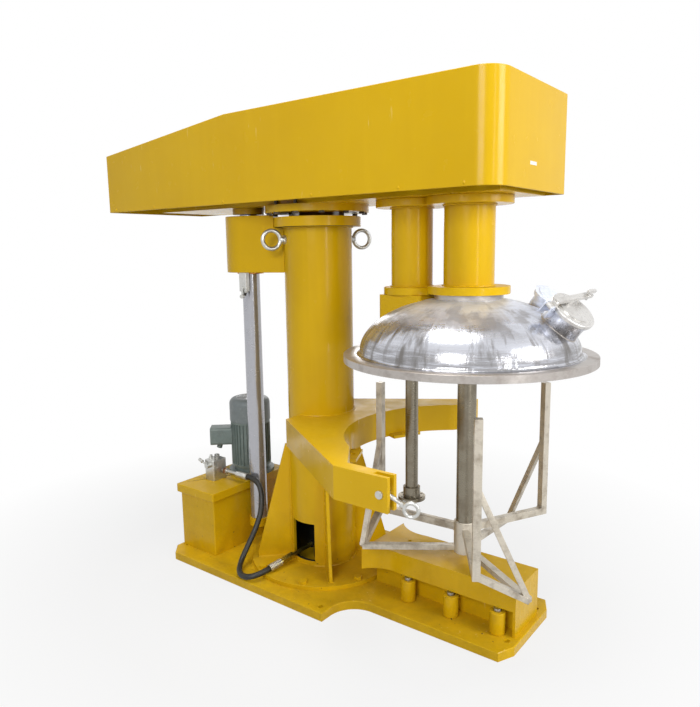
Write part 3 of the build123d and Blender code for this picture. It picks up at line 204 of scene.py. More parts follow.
def worked_metal_group():
    """Worked metal: fine grain along or round the piece, soft stains and smudges."""
    inputs = [
        ("Metal", "NodeSocketColor", (0.5, 0.5, 0.5, 1)),
        ("Stain", "NodeSocketColor", (0.2, 0.16, 0.12, 1)),
        ("Grain", "NodeSocketVector", (1, 1, 1)),
        ("Stained", "NodeSocketFloat", 0.4),
        ("Gloss", "NodeSocketFloat", 0.3),
    ]
    tree, given, out = new_group("worked metal", inputs)
    place = object_place(tree)
    fine = add(tree, "ShaderNodeVectorMath", {0: place, 1: given["Grain"]}, operation="MULTIPLY")
    grain = noise(tree, fine.outputs[0], 40, 3, 0.65)
    stain = spread(tree, noise(tree, place, 14, 5, 0.65), 0.48, 0.68)
    colour = blend_colours(tree, times(tree, stain, given["Stained"]), given["Metal"], given["Stain"])
    streak = spread(tree, grain, 0.3, 0.7, 0.9, 1.04)
    grey = add(tree, "ShaderNodeCombineColor", {0: streak, 1: streak, 2: streak}).outputs[0]
    colour = blend_colours(tree, 1.0, colour, grey, "MULTIPLY")
    rough = plus(tree, given["Gloss"], spread(tree, grain, 0.3, 0.7, -0.03, 0.05))
    rough = plus(tree, rough, times(tree, stain, 0.14))
    give(tree, out, Color=colour, Roughness=rough, Height=grain)
    return tree


def polished_dome_group():
    """Hand-polished stainless dome, worked round its own axis: buffing streaks round it painted darker as
    reflections, upright dark patches and a dark skirt below as painted reflections, hazy swirls half-way
    up, a matt crown painted lighter as painted light, a bluish tint against the yellow it reflects, and
    slow ripples."""
    tree, _, out = new_group("polished dome", [], [*surface, ("Metallic", "NodeSocketFloat")])
    centre = (main_x, 0.0, dome_foot)
    sockets = {0: object_place(tree), 1: centre}
    moved = add(tree, "ShaderNodeVectorMath", sockets, operation="SUBTRACT").outputs[0]
    parts = split(tree, moved)
    z = parts["Z"]
    turn = maths(tree, "ARCTAN2", parts["Y"], parts["X"])
    across = add(tree, "ShaderNodeVectorMath", {0: moved}, operation="LENGTH").outputs["Value"]

    def wrapped(round_it, outward, upward):
        """The place as turn, distance from the centre and height, each scaled."""
        scaled = ((turn, round_it), (across, outward), (z, upward))
        sockets = {index: times(tree, *pair) for index, pair in enumerate(scaled)}
        return add(tree, "ShaderNodeCombineXYZ", sockets).outputs[0]

    streaks = noise(tree, wrapped(2.2, 60, 60), 1.4, 6, 0.7)
    upright = wrapped(5.5, 4, 3.5)
    patches = noise(tree, upright, 1.5, 4, 0.6)
    crown = spread(tree, plus(tree, z, times(tree, patches, 0.05)), 0.15, 0.215)
    # Painted light: the dome is tinted bluish to offset the yellow it reflects, and the crown is painted
    # lighter where the guard shades it.
    colour = blend_colours(tree, crown, shade(206, 208, 216), shade(234, 240, 254))
    # Painted reflection: upright dark patches on the lower dome.
    darker = times(tree, spread(tree, patches, 0.5, 0.64), spread(tree, z, 0.17, 0.09))
    colour = blend_colours(tree, times(tree, darker, 0.8), colour, shade(104, 98, 90))
    # Painted reflection: a dark band just above the rim.
    skirt = times(tree, spread(tree, z, 0.066, 0.044), spread(tree, streaks, 0.36, 0.56))
    colour = blend_colours(tree, times(tree, skirt, 0.6), colour, shade(98, 94, 90))
    # The buffing streaks are real; painting them darker grey is a painted reflection.
    colour = blend_colours(tree, spread(tree, streaks, 0.42, 0.72, 0, 0.35), colour, shade(150, 148, 146))
    hazy = spread(tree, noise(tree, wrapped(2.6, 5, 13), 1.7, 4, 0.55), 0.47, 0.6)
    hazy = times(tree, hazy, spread(tree, z, 0.08, 0.13))
    hazy = times(tree, hazy, spread(tree, z, 0.215, 0.185))
    colour = blend_colours(tree, times(tree, hazy, 0.6), colour, shade(136, 132, 130))
    rough = spread(tree, streaks, 0.35, 0.7, 0.14, 0.3)
    rough = plus(tree, rough, times(tree, crown, 0.26))
    rough = plus(tree, rough, times(tree, hazy, 0.1))
    ripple = noise(tree, upright, 3.2, 2, 0.45)
    height = plus(tree, ripple, times(tree, streaks, 0.03))
    metallic = maths(tree, "SUBTRACT", 0.8, times(tree, crown, 0.25))
    give(tree, out, Color=colour, Roughness=rough, Height=height, Metallic=metallic)
    return tree


def rubber_group():
    """Black hose cover: faint wrapped cloth mark and a dusty bloom."""
    tree, _, out = new_group("hose cover", [])
    place = object_place(tree)
    bloom = spread(tree, noise(tree, place, 22, 5, 0.7), 0.42, 0.7)
    colour = blend_colours(tree, times(tree, bloom, 0.35), shade(18, 18, 14), shade(64, 60, 44))
    sockets = {"Vector": place, "Scale": 170, "Distortion": 1.5}
    weave = add(tree, "ShaderNodeTexWave", sockets, bands_direction="DIAGONAL").outputs["Fac"]
    height = plus(tree, times(tree, weave, 0.3), bloom)
    give(tree, out, Color=colour, Roughness=spread(tree, bloom, 0, 1, 0.4, 0.66), Height=height)
    return tree


def casting_group():
    """Painted casting: pebbled skin, oily darker patches and dust."""
    tree, given, out = new_group("painted casting", [("Paint", "NodeSocketColor", (0.1, 0.12, 0.11, 1))])
    place = object_place(tree)
    oil = spread(tree, noise(tree, place, 9, 5, 0.65), 0.46, 0.7)
    colour = blend_colours(tree, times(tree, oil, 0.4), given["Paint"], shade(48, 52, 48))
    dust = spread(tree, noise(tree, place, 30, 4, 0.7), 0.55, 0.75)
    colour = blend_colours(tree, times(tree, dust, 0.3), colour, shade(170, 176, 168))
    pebbles = noise(tree, place, 160, 3, 0.5)
    give(tree, out, Color=colour, Roughness=spread(tree, oil, 0, 1, 0.48, 0.3), Height=pebbles)
    return tree


def material(name, group, sockets, bump, depth, principled):
    """A Principled material whose colour, roughness and bump come from a group."""
    made = bpy.data.materials.new(name)
    made.use_nodes = True
    tree = made.node_tree
    shader = tree.nodes["Principled BSDF"]
    source = add(tree, "ShaderNodeGroup", node_tree=group)
    for key, value in sockets.items():
        source.inputs[key].default_value = value
    tree.links.new(source.outputs["Color"], shader.inputs["Base Color"])
    tree.links.new(source.outputs["Roughness"], shader.inputs["Roughness"])
    relief = {"Height": source.outputs["Height"], "Strength": bump, "Distance": depth}
    tree.links.new(add(tree, "ShaderNodeBump", relief).outputs["Normal"], shader.inputs["Normal"])
    if "Metallic" in source.outputs:
        tree.links.new(source.outputs["Metallic"], shader.inputs["Metallic"])
    for key, value in principled.items():
        shader.inputs[key].default_value = value
    return made


enamel = enamel_group()
worked = worked_metal_group()
dome_polish = polished_dome_group()
rubber = rubber_group()
casting = casting_group()


def metal(name, bright, stain, grain, stained, gloss, bump=0.12, pure=1.0):
    """A worked metal from two screen colours, with its grain squeezed along the axes given."""
    sockets = {
        "Metal": shade(*bright), "Stain": shade(*stain), "Grain": grain,
        "Stained": stained, "Gloss": gloss,
    }
    return material(name, worked, sockets, bump, grain_depth, {"Metallic": pure})


def cast_paint(name, paint, bump, depth):
    """A painted casting of that screen colour."""
    return material(name, casting, {"Paint": shade(*paint)}, bump, depth, {"Metallic": 0.0})


def dark_rubber(name, bump, depth):
    """Black rubber with that relief."""
    return material(name, rubber, {}, bump, depth, {"Metallic": 0.0})


yellow = material(
    "golden enamel", enamel, {"Paint": shade(218, 176, 16), "Worn": 1.0}, 0.3, 0.0010,
    {"Coat Weight": 0.05, "Coat Roughness": 0.08, "Specular IOR Level": 0.16},
)
materials = {
    "yellow_enamel": yellow,
    "polished_lid": material("polished dome", dome_polish, {}, 0.5, 0.004, {}),
    "brushed_stainless": metal(
        "ground shaft", (138, 131, 116), (92, 78, 62), (2, 2, 26), 0.35, 0.26, 0.04),
    "satin_steel": metal(
        "pickled stainless bar", (202, 194, 179), (112, 96, 74), (2, 2, 9), 0.6, 0.38, 0.04, 0.5),
    "hard_chrome": metal(
        "hard chrome", (180, 181, 187), (136, 135, 134), (1, 1, 30), 0.12, 0.16, 0.01, 0.65),
    "motor_grey": cast_paint("motor paint", (118, 131, 127), 0.2, 0.0006),
    "dark_bolt": metal("blackened bolt", (84, 78, 70), (44, 38, 34), (3, 3, 3), 0.6, 0.36),
    "zinc": metal("zinc plate", (200, 200, 196), (122, 118, 108), (2, 2, 2), 0.4, 0.3, 0.01, 0.85),
    "bronze": metal("cast bronze", (184, 128, 66), (90, 62, 34), (3, 3, 3), 0.5, 0.34),
    "brass_pipe": metal("yellow zinc pipe", (178, 164, 84), (96, 82, 44), (4, 4, 4), 0.5, 0.28),
    "grey_primer": cast_paint("pale primer", (196, 200, 196), 0.12, 0.0004),
    "black_rubber": dark_rubber("hose rubber", 0.3, 0.0004),
    "seal_rubber": dark_rubber("seal rubber", 0.2, 0.0003),
    "cast_pulley": metal("turned cast iron", (92, 92, 94), (50, 46, 44), (2, 2, 30), 0.5, 0.42),
    "machine_steel": metal("turned steel", (168, 168, 168), (96, 90, 82), (2, 2, 22), 0.4, 0.3),
}
cover_grey = cast_paint("fan cover paint", (120, 128, 129), 0.2, 0.0005)
cover_steel = metal(
    "satin cover", (216, 214, 211), (152, 148, 142), (2, 2, 2), 0.4, 0.28, 0.01, 0.8)
satin_rim = metal("satin rim", (180, 174, 169), (126, 116, 108), (2, 2, 8), 0.5, 0.34, 0.01, 0.8)
warm_brass = metal("oiled hexagon", (176, 132, 104), (90, 62, 46), (4, 4, 4), 0.5, 0.3)
blank_label = cast_paint("blank label", (238, 236, 226), 0.05, 0.0002)
# Black rubber for the switch gland, also put inside the column and on the cylinder barrel as painted
# shade.
joint_dark = dark_rubber("dark gland and painted shade", 0.2, 0.0003)


# Mesh helpers

def shown(name, mesh, finish, body="frame"):
    """An object for a finished mesh, with its material and body."""
    made = bpy.data.objects.new(name, mesh)
    bpy.context.scene.collection.objects.link(made)
    mesh.materials.clear()
    mesh.materials.append(finish)
    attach(made, body)
    return made


def smooth_faces(mesh, corner):
    """Smooth shading, with the edges that bend more than the corner angle kept sharp."""
    mesh.polygons.foreach_set("use_smooth", np.ones(len(mesh.polygons), dtype=bool))
    mesh.set_sharp_from_angle(angle=math.radians(corner))


def refined(node, edge, corner=32, finish=None, second=None):
    """A merged copy of a CAD node with smooth round faces and softened edges, in its place.
    The second finish, given as (material, axis, limit), goes on the faces whose centre lies above
    the limit. Axis 3 is the distance from the column's axis, taken as negative."""
    mesh = frame["nodes"][node].data.copy()
    mesh.transform(frame["nodes"][node].matrix_world)
    work = bmesh.new()
    work.from_mesh(mesh)
    bmesh.ops.remove_doubles(work, verts=work.verts, dist=2e-5)
    almost_flat = math.radians(0.6)
    bmesh.ops.dissolve_limit(work, angle_limit=almost_flat, verts=work.verts, edges=work.edges)
    work.to_mesh(mesh)
    work.free()
    smooth_faces(mesh, corner)
    slot = slot_of_node[node]
    made = shown(node + "_finish", mesh, finish or materials[slot], body_of_node[node])
    if second:
        mesh.materials.append(second[0])
        centres = np.empty(len(mesh.polygons) * 3)
        mesh.polygons.foreach_get("center", centres)
        centres = centres.reshape(-1, 3)
        centres = np.column_stack([centres, -np.hypot(centres[:, 0], centres[:, 1])])
        mesh.polygons.foreach_set("material_index", (centres[:, second[1]] > second[2]).astype(int))
    if edge:
        soft = made.modifiers.new("soft edges", "BEVEL")
        soft.width = edge
        soft.segments = 2
        soft.limit_method = "ANGLE"
        soft.angle_limit = math.radians(corner)
        soft.harden_normals = True
    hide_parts(node)


def sheet_faces(rows, columns, loop_rows, loop_columns):
    """Corner numbers of each quad of a grid, that may close on itself either way."""
    r = np.arange(rows if loop_rows else rows - 1)
    c = np.arange(columns if loop_columns else columns - 1)
    r, c = np.meshgrid(r, c, indexing="ij")
    r2, c2 = (r + 1) % rows, (c + 1) % columns
    corners = [r * columns + c, r * columns + c2, r2 * columns + c2, r2 * columns + c]
    return np.stack(corners, -1).reshape(-1, 4)


def grid_mesh(name, blocks, corner=40):
    """One mesh from several grids of points, each a tuple of points, close rows and close columns."""
    points, faces, start = [], [], 0
    for grid, loop_rows, loop_columns in blocks:
        rows, columns = grid.shape[:2]
        points.append(grid.reshape(-1, 3))
        faces.append(sheet_faces(rows, columns, loop_rows, loop_columns) + start)
        start += rows * columns
    mesh = bpy.data.meshes.new(name)
    mesh.from_pydata(np.concatenate(points).tolist(), [], np.concatenate(faces).tolist())
    work = bmesh.new()
    work.from_mesh(mesh)
    bmesh.ops.remove_doubles(work, verts=work.verts, dist=1e-6)
    bmesh.ops.recalc_face_normals(work, faces=work.faces)
    work.to_mesh(mesh)
    work.free()
    smooth_faces(mesh, corner)
    return mesh


def piece(name, blocks, finish, body="frame", corner=40):
    """A finished object made of several grids, on its body."""
    return shown(name, grid_mesh(name, blocks, corner), finish, body)


def turned(profile, centre, axis=(0, 0, 1), sides=48):
    """Points r(s), h(s) of the profile spun round the axis: centre + h axis + r (cos a u + sin a v)."""
    profile = np.asarray(profile, float)
    axis = np.asarray(axis, float) / np.linalg.norm(axis)
    aside = np.array([1.0, 0, 0]) if abs(axis[0]) < 0.8 else np.array([0, 1.0, 0])
    u = np.cross(aside, axis)
    u /= np.linalg.norm(u)
    v = np.cross(axis, u)
    angle = np.linspace(0, 2 * math.pi, sides, endpoint=False)
    around = np.cos(angle)[:, None] * u + np.sin(angle)[:, None] * v
    grid = profile[:, 0, None, None] * around[None] + profile[:, 1, None, None] * axis
    return grid + np.asarray(centre, float)


def ring(*shape, **more):
    """A closed section turned into a ring."""
    return turned(*shape, **more), True, True


def knob(*shape, **more):
    """A profile that starts and ends on its axis, turned into a solid piece."""
    return turned(*shape, **more), False, True


def swept(path, radius, up=(0, 0, 1), loop=False, sides=8):
    """A tube along the path: p(s) + r(s) (cos a n + sin a b), n and b square to the path's direction."""
    path = np.asarray(path, float)
    if loop:
        along = np.roll(path, -1, 0) - np.roll(path, 1, 0)
    else:
        along = np.gradient(path, axis=0)
    along /= np.linalg.norm(along, axis=1, keepdims=True)
    n = np.cross(along, np.asarray(up, float))
    n /= np.linalg.norm(n, axis=1, keepdims=True)
    b = np.cross(n, along)
    angle = np.linspace(0, 2 * math.pi, sides, endpoint=False)
    radius = np.broadcast_to(np.asarray(radius, float), (len(path),))
    around = np.cos(angle)[None, :, None] * n[:, None] + np.sin(angle)[None, :, None] * b[:, None]
    grid = path[:, None] + radius[:, None, None] * around
    if not loop:
        first = np.broadcast_to(path[0], (1, sides, 3))
        last = np.broadcast_to(path[-1], (1, sides, 3))
        grid = np.concatenate([first, grid, last])
    return grid, loop, True


def bead(path, size, up=(0, 0, 1), loop=False, step=0.006):
    """A weld bead: a tube along the path whose radius swells at each pass, and a little besides:
    size (0.92 + 0.2 |sin(pi s / step)| + 0.07 sin(151 s)) at the length s."""
    path = np.asarray(path, float)
    lengths = np.concatenate([[0], np.cumsum(np.linalg.norm(np.diff(path, axis=0), axis=1))])
    passes = np.abs(np.sin(math.pi * lengths / step))
    swell = size * (0.92 + 0.2 * passes + 0.07 * np.sin(lengths * 151))
    return swept(path, swell, up, loop)


def arc(radius, height, first=0.0, last=360.0, centre=(0, 0), count=None):
    """Points on a level circle from one heading to another, in degrees: c + r (cos a, sin a)."""
    full = abs(last - first) >= 360
    count = count or max(12, int(radius * math.radians(abs(last - first)) / weld_gap))
    angle = np.radians(np.linspace(first, last, count, endpoint=not full))
    flat = np.stack([centre[0] + radius * np.cos(angle), centre[1] + radius * np.sin(angle)], -1)
    return np.concatenate([flat, np.full((count, 1), height)], 1)


def line(start, end, gap=weld_gap):
    """Evenly spaced points between two places: start + t (end - start)."""
    start, end = np.asarray(start, float), np.asarray(end, float)
    count = max(3, int(np.linalg.norm(end - start) / gap))
    return start + (end - start) * np.linspace(0, 1, count)[:, None]


# CAD nodes that keep their shape and get finished edges

soft_edges = {
    "belt_guard": 0.003, "base_plate": 0.003, "column": 0.0012, "column_gussets": 0.002,
    "clamp_yoke": 0.002, "leg_box": 0.003, "rod_bracket": 0.003, "oil_tank": 0.002,
    "tank_lid": 0.005, "valve_block": 0.002, "terminal_box": 0.003, "pump_motor": 0.0008,
    "motor_fan_cover": 0.002, "beam": 0.002, "main_housing": 0.0025, "fast_housing": 0.0025,
    "lid_pads": 0.003, "paddle_frame": 0.002, "port_necks": 0.001, "charge_cover": 0.0015,
    "sight_cap": 0.0015, "fast_hub": 0.0015, "foot_bolts": 0.0012, "beam_bolts": 0.001,
    "limit_switch": 0.0015, "switch_lever": 0.0008, "valve_lever": 0.001, "clevis_pin": 0.0012,
    "guard_crossbars": 0.001, "rod_collar": 0.0015, "roller_pins": 0.0008, "swing_bolt": 0.0,
    "lifting_eyes": 0.0, "main_shaft": 0.001, "fast_shaft": 0.001, "guide_rod": 0.001,
    "lift_tube": 0.0, "hose_outlet": 0.0006, "inlet_pipe": 0.0006, "cylinder_barrel": 0.001,
}
for number in range(1, 7):
    soft_edges["guide_roller_%d" % number] = 0.0008
# The cylinder barrel in the column's doorway gets the dark finish as painted shade.
other_finish = {
    "motor_fan_cover": cover_grey, "charge_cover": cover_steel, "lid_pads": yellow,
    "foot_bolts": yellow, "cylinder_barrel": joint_dark,
}
# The column's inner faces get the dark finish as painted shade inside its doorway.
part_finish = {
    "lid_pads": (satin_rim, 0, 0.66), "lift_tube": (yellow, 2, 1.76),
    "guide_rod": (yellow, 2, 1.765), "column": (joint_dark, 3, -0.1535),
}
for node, edge in soft_edges.items():
    refined(node, edge, finish=other_finish.get(node), second=part_finish.get(node))
for node, item in frame["nodes"].items():
    if node not in soft_edges:
        item.data.materials.clear()
        item.data.materials.append(materials[slot_of_node[node]])


# Lid

def dome_frame(heading, reach, tilt, lean):
    """Foot on the dome and outward direction of a port, from its heading, reach, tilt and lean."""
    a, t, m = (math.radians(v) for v in (heading, tilt, lean))
    rise = dome_rise * math.sqrt(1 - (reach / dome_radius) ** 2)
    foot = np.array([main_x + reach * math.cos(a), reach * math.sin(a), dome_foot + rise])
    return foot, np.array([math.sin(t) * math.cos(m), math.sin(t) * math.sin(m), math.cos(t)])


ports = [(dome_frame(3, 0.378, 42, -14), 0.0755), (dome_frame(34, 0.285, 38, -20), 0.0415)]
fast_hole = (np.array([fast_x, 0, 1.36]), np.array([0, 0, 1.0]), 0.046)
hole_depth = 0.09


def lid_mesh(sides=420):
    """Lid skin: lip, flat rim, hollow fillet, then the ellipse r = radius cos t, z = foot + rise sin t.
    The profile is spun round the shaft. Above the fillet it is drawn towards the dome's centre by
    |0.0006 sin(7 a + 9 z)| of its distance, at turn a. Quads over the ports and the fast shaft are
    left out, and the points near each hole are put on its edge."""
    lip = [(0.5165, 1.1385), (0.5168, 1.150), (0.5168, 1.1655), (0.5160, 1.1672), (0.5142, 1.1680)]
    flat = [(r, 1.168) for r in (0.505, 0.49, 0.475, 0.466)]
    bend, curl = 0.014, np.radians([10, 28, 46, 64, 82])
    fillet = np.stack([dome_radius + bend * (1 - np.sin(curl)), 1.182 - bend * np.cos(curl)], -1)
    t = np.linspace(0.03, 1.43, 90)
    ellipse = np.stack([dome_radius * np.cos(t), dome_foot + dome_rise * np.sin(t)], -1)
    profile = np.concatenate([lip, flat, fillet, ellipse])
    grid = turned(profile, (main_x, 0, 0), sides=sides)
    angle = np.linspace(0, 2 * math.pi, sides, endpoint=False)
    height = profile[:, 1, None]
    wave = 0.0006 * np.sin(7 * angle[None] + 9 * height) * np.clip((height - 1.19) * 12, 0, 1)
    centre = np.array([main_x, 0, dome_foot])
    grid = centre + (grid - centre) * (1 - np.abs(wave))[..., None]
    rows, columns = grid.shape[:2]
    points = grid.reshape(-1, 3)
    faces = sheet_faces(rows, columns, False, True)
    keep = np.ones(len(faces), bool)
    for foot, out, size in [(foot, out, size) for (foot, out), size in ports] + [fast_hole]:
        offset = points - foot
        deep = offset @ out
        flatways = offset - deep[:, None] * out
        distance = np.linalg.norm(flatways, axis=1)
        close = (np.abs(deep) < hole_depth) & (np.abs(distance - size) < 0.0045)
        push = np.where(close, size / np.maximum(distance, 1e-6), 1.0)
        points = foot + deep[:, None] * out + flatways * push[:, None]
        middle = points[faces].mean(1) - foot
        lift = middle @ out
        wide = np.linalg.norm(middle - lift[:, None] * out, axis=1)
        keep &= ~((np.abs(lift) < hole_depth) & (wide < size - 0.0008))
    mesh = bpy.data.meshes.new("lid_skin")
    mesh.from_pydata(points.tolist(), [], faces[keep].tolist())
    work = bmesh.new()
    work.from_mesh(mesh)
    loose = [v for v in work.verts if not v.link_faces]
    bmesh.ops.delete(work, geom=loose, context="VERTS")
    bmesh.ops.recalc_face_normals(work, faces=work.faces)
    work.to_mesh(mesh)
    work.free()
    smooth_faces(mesh, 50)
    return mesh


lid = shown("vessel_lid_skin", lid_mesh(), materials["polished_lid"], "lift")
wall = lid.modifiers.new("sheet", "SOLIDIFY")
wall.thickness = 0.006
wall.offset = -1.0
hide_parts("vessel_lid")
rim_section = [
    (0.470, 1.1683), (0.5145, 1.1686), (0.5169, 1.1668), (0.5170, 1.1390),
    (0.5155, 1.1384), (0.5105, 1.1384), (0.5105, 1.1590), (0.470, 1.1590),
]
rim = ring(rim_section, (main_x, 0, 0), sides=240)
piece("lid_rim_plate", [rim], satin_rim, "lift", 50)

# Weld beads

foot_arcs = [(3, 87), (93, 177), (138, 222), (228, 251), (293, 312), (318, 357)]
foot_beads = [bead(arc(column_seam, foot_seam, a, b), 0.0055) for a, b in foot_arcs]
gusset_root, gusset_end, gusset_top = 0.1635, 0.333, 0.64
for heading in (45, 135, 225, 315):
    a = math.radians(heading)
    out, side = np.array([math.cos(a), math.sin(a), 0]), np.array([-math.sin(a), math.cos(a), 0])
    for hand in (-0.0095, 0.0095):
        root = out * gusset_root + side * hand
        end = out * gusset_end + side * hand
        foot_beads.append(bead(line(root + (0, 0, 0.07), root + (0, 0, gusset_top)), 0.0042, up=out))
        foot_beads.append(bead(line(root + (0, 0, foot_seam), end + (0, 0, foot_seam)), 0.0045))
piece("column_welds", foot_beads, yellow)
head_beads = [
    bead(arc(column_seam, 1.7015), 0.005, loop=True), bead(arc(column_seam, 0.8185, -88, 88), 0.004),
    bead(arc(column_seam, 0.6855, -88, 88), 0.004),
]
piece("column_head_welds", head_beads, yellow)
neck_beads = []
for x, radius, foot in ((main_x, 0.1045, 1.4455), (fast_x, 0.0905, 1.4355)):
    for z in (foot, 1.7665):
        neck_beads.append(bead(arc(radius, z, centre=(x, 0)), 0.0042, loop=True))
piece("housing_welds", neck_beads, yellow, "lift")


def port_seam(foot, out, size):
    """A ring round the port's axis, each point moved along the axis until it lies on the ellipsoid."""
    side = np.cross(out, (0, 0, 1.0))
    side /= np.linalg.norm(side)
    steep = np.cross(side, out)
    angle = np.linspace(0, 2 * math.pi, 200, endpoint=False)
    around = foot + size * (np.cos(angle)[:, None] * side + np.sin(angle)[:, None] * steep)
    centre = np.array([main_x, 0, dome_foot])
    axes = np.array([dome_radius, dome_radius, dome_rise])
    for _ in range(6):
        reach = np.linalg.norm((around - centre) / axes, axis=1)
        around = around + out * ((1 - reach) * 0.20)[:, None]
    return around


port_beads = [
    swept(port_seam(foot, out, size + 0.0035), 0.0026, tuple(out), True)
    for (foot, out), size in ports
]
piece("port_welds", port_beads, satin_rim, "lift")
paddle_beads = [bead(arc(0.0415, 0.4285, centre=(main_x, 0)), 0.0035, loop=True)]
for heading in (-57, 63, 183):
    turn = math.radians(heading)
    out = np.array([math.cos(turn), math.sin(turn), 0])
    side = np.array([-math.sin(turn), math.cos(turn), 0]) * 0.0155
    for reach, z in ((0.0485, 0.380), (0.0485, 0.410), (0.4125, 0.4105)):
        seam = np.array([main_x, 0, z]) + out * reach
        paddle_beads.append(bead(line(seam - side, seam + side), 0.003))
piece("paddle_welds", paddle_beads, materials["satin_steel"], "mixer")

# Hose and its fittings

hose_route = [
    (-0.385, outlet_y, outlet_z), (-0.318, outlet_y, outlet_z), (-0.266, -0.170, 0.372),
    (-0.240, -0.203, 0.291), (-0.238, -0.250, 0.210), (-0.243, -0.302, 0.140),
    (-0.232, -0.364, 0.084), (-0.185, -0.425, 0.062), (-0.120, -0.438, 0.062),
    (-0.0700, -0.3985, 0.0765), (-0.0640, -0.3372, 0.0829),
]
route = bpy.data.curves.new("hydraulic_hose_line", "CURVE")
route.dimensions = "3D"
spline = route.splines.new("NURBS")
spline.points.add(len(hose_route) - 1)
spline.points.foreach_set("co", [v for p in hose_route for v in (*p, 1.0)])
spline.order_u = 3
spline.use_endpoint_u = True
spline.resolution_u = 16
route.bevel_depth = hose_thickness / 2
route.bevel_resolution = 6
route.use_fill_caps = True
hose = bpy.data.objects.new("hydraulic_hose_cover", route)
bpy.context.scene.collection.objects.link(hose)
route.materials.append(materials["black_rubber"])
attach(hose, "frame")
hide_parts("hydraulic_hose")

ribs = np.linspace(0, 1, 60)
sleeve_length, rib_count = 0.074, 9
sleeve = np.stack([
    0.0178 + 0.0007 * np.sin(ribs * 2 * math.pi * rib_count), ribs * sleeve_length,
], -1)
sleeve = np.concatenate([[(0.0136, 0.0)], sleeve, [(0.0136, sleeve_length)]])
end = np.array(hose_route[-1])
away = end - np.array(hose_route[-2])
away /= np.linalg.norm(away)
sleeves = [ring(sleeve, (-0.460, outlet_y, outlet_z), (1, 0, 0)), ring(sleeve, end + away * 0.002, away)]
piece("hose_sleeves", sleeves, materials["zinc"], corner=60)

# Pump motor cover, limit switch, valve block and hose outlet details

cover_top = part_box("motor_fan_cover")[1][2]
cover_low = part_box("motor_fan_cover")[0][2]
grille = [
    swept(arc(radius, cover_top + 0.0005, centre=motor, count=96), 0.0016, loop=True)
    for radius in (0.022, 0.034, 0.046, 0.058, 0.070)
]
middle = np.array([*motor, cover_top + 0.001])
for heading in range(0, 360, 60):
    a = math.radians(heading)
    out = np.array([math.cos(a), math.sin(a), 0])
    grille.append(swept(line(middle + out * 0.02, middle + out * 0.074, 0.006), 0.0018))
piece("fan_cover_grille", grille, materials["machine_steel"])
band = [(0.1085, -0.004), (0.1105, -0.002), (0.1105, 0.012), (0.1085, 0.014)]
hem = ring(band, (*motor, cover_low + 0.002), sides=72)
piece("fan_cover_hem", [hem], cover_grey, corner=30)

low, high = (np.array(v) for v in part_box("limit_switch"))
middle = (low + high) / 2
gland = [
    (0.0, 0.016), (0.006, 0.016), (0.0085, 0.012), (0.0085, 0.004), (0.011, 0.004),
    (0.011, -0.001), (0.0, -0.001),
]
gland_place = np.array([middle[0], middle[1], low[2] + 0.001])
piece("switch_gland", [knob(gland, gland_place, (0, 0, -1), 24)], joint_dark, corner=30)

plug = [(0.0, 0.022), (0.008, 0.022), (0.0085, 0.012), (0.013, 0.011), (0.013, -0.001), (0.0, -0.001)]
plug_places = [(-0.586, -0.205, 0.4885), (-0.626, -0.190, 0.4885)]
plugs = [knob(plug, place, (0, 0, 1), 6) for place in plug_places]
piece("valve_plugs", plugs, materials["zinc"], corner=30)
nut = [(0.0, 0.02), (0.0165, 0.02), (0.0185, 0.018), (0.0185, 0.002), (0.0165, 0.0), (0.0, 0.0)]
outlet_nut = knob(nut, (-0.562, outlet_y, outlet_z), (1, 0, 0), 6)
piece("outlet_nut", [outlet_nut], warm_brass, corner=30)

# Guard details: blank plate and screws

half_wide, half_tall, thick = 0.030, 0.0065, 0.0012
corners = np.array([(-1, -1), (1, -1), (1, 1), (-1, 1)]) * (half_wide, half_tall)
front = np.stack([np.full(4, 1.0698), corners[:, 0] - 0.012, corners[:, 1] + 1.905], -1)
back = front - (thick, 0, 0)
pole_back, pole_front = (np.broadcast_to(face.mean(0), (1, 4, 3)) for face in (back, front))
plate = np.concatenate([pole_back, back[None], front[None], pole_front])
piece("blank_plate", [(plate, False, True)], blank_label, "lift", 30)


def screw_heads(hand, radius=0.006, tall=0.003):
    """Round screw heads along one side of the guard: a low dome with a flat rim at each place."""
    profile = [
        (0.0, tall), (radius * 0.5, tall * 0.93), (radius * 0.85, tall * 0.6),
        (radius, 0.0005), (radius, -0.001), (0.0, -0.001),
    ]
    places = [(x, hand * 0.3222, 1.822) for x in (-1.15, -0.82, -0.30, 0.24, 0.672, 0.945)]
    return [knob(profile, place, (0, hand, 0), 20) for place in places]


piece("guard_screws", screw_heads(-1) + screw_heads(1), yellow, "lift")

# Stage, light and camera

plain_white = (1, 1, 1, 1)


def shows(tree):
    """1 for what the camera, a mirror or clear glass shows, and 0 where only light is asked for."""
    rays = add(tree, "ShaderNodeLightPath").outputs
    mirrored = maths(tree, "MAXIMUM", rays["Is Glossy Ray"], rays["Is Transmission Ray"])
    return maths(tree, "MAXIMUM", rays["Is Camera Ray"], mirrored)


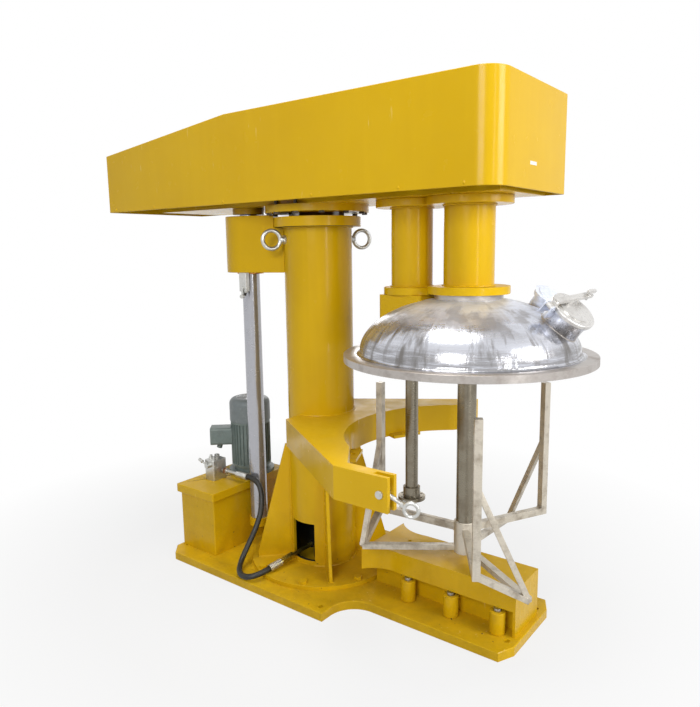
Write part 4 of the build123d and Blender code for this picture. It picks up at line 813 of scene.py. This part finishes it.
floor_half = 14
floor_mesh = bpy.data.meshes.new("floor")
floor_corners = [(x * floor_half, y * floor_half, 0) for x, y in ((-1, -1), (1, -1), (1, 1), (-1, 1))]
floor_mesh.from_pydata(floor_corners, [], [(0, 1, 2, 3)])
floor = bpy.data.objects.new("floor", floor_mesh)
bpy.context.scene.collection.objects.link(floor)
floor_paint = bpy.data.materials.new("white floor")
floor_paint.use_nodes = True
tree = floor_paint.node_tree
tree.nodes.clear()
matt = add(tree, "ShaderNodeBsdfDiffuse", {"Color": (0.5, 0.5, 0.5, 1)}).outputs[0]
white = add(tree, "ShaderNodeEmission", {"Color": plain_white, "Strength": 1.0}).outputs[0]
distance = add(tree, "ShaderNodeVectorMath", {0: object_place(tree)}, operation="LENGTH")
paper = spread(tree, distance.outputs["Value"], 1.1, 2.4, 0.80, 1.0)
share = times(tree, shows(tree), paper)
mixed = add(tree, "ShaderNodeMixShader", {0: share, 1: matt, 2: white}).outputs[0]
tree.links.new(mixed, add(tree, "ShaderNodeOutputMaterial").inputs["Surface"])
floor_mesh.materials.append(floor_paint)

world = bpy.data.worlds.new("plain studio")
bpy.context.scene.world = world
world.use_nodes = True
tree = world.node_tree
tree.nodes.clear()
soft = add(tree, "ShaderNodeBackground", {"Color": plain_white, "Strength": 0.22}).outputs[0]
white = add(tree, "ShaderNodeBackground", {"Color": plain_white, "Strength": 1.0}).outputs[0]
mixed = add(tree, "ShaderNodeMixShader", {0: shows(tree), 1: soft, 2: white}).outputs[0]
tree.links.new(mixed, add(tree, "ShaderNodeOutputWorld").inputs["Surface"])


def lamp(name, place, target, width, height, power):
    """A soft rectangular lamp at a place, turned to a target."""
    data = bpy.data.lights.new(name, "AREA")
    data.shape = "RECTANGLE"
    data.size, data.size_y, data.energy = width, height, power
    made = bpy.data.objects.new(name, data)
    made.location = place
    made.rotation_euler = (Vector(target) - Vector(place)).to_track_quat("-Z", "Y").to_euler()
    bpy.context.scene.collection.objects.link(made)


lamp("end key", (5.2, 0.4, 3.2), (0.4, 0, 1.3), 2.0, 2.4, 172)
lamp("near key", (1.9, -5.2, 3.4), (0, 0, 1.0), 2.2, 2.4, 152)
lamp("strip", (4.6, -1.8, 1.8), (0, 0, 1.3), 0.16, 3.0, 24)
lamp("top", (0.3, -0.6, 5.4), (0.2, 0, 1.0), 2.0, 2.0, 130)
lamp("far rim", (-3.0, 4.2, 3.0), (0, 0, 1.2), 2.4, 2.4, 46)

yaw, pitch, roll = (math.radians(v) for v in (37.617, 9.067, -0.773))
forward = math.cos(pitch)
ahead = Vector((-math.sin(yaw) * forward, math.cos(yaw) * forward, -math.sin(pitch)))
level = Vector((math.cos(yaw), math.sin(yaw), 0))
upright = level.cross(ahead)
right = math.cos(roll) * level + math.sin(roll) * upright
above = -math.sin(roll) * level + math.cos(roll) * upright
facing = Matrix((right, above, -ahead)).transposed().to_4x4()
longer_side, focal_pixels = 707, 657.9  # the photograph's longer side and focal length, in pixels
lens = bpy.data.cameras.new("camera")
lens.sensor_width = 36
lens.lens = focal_pixels / longer_side * lens.sensor_width
camera = bpy.data.objects.new("camera", lens)
camera.matrix_world = Matrix.Translation((2.065, -2.440, 1.600)) @ facing
bpy.context.scene.collection.objects.link(camera)
bpy.context.scene.camera = camera
bpy.context.scene.view_settings.view_transform = "Standard"
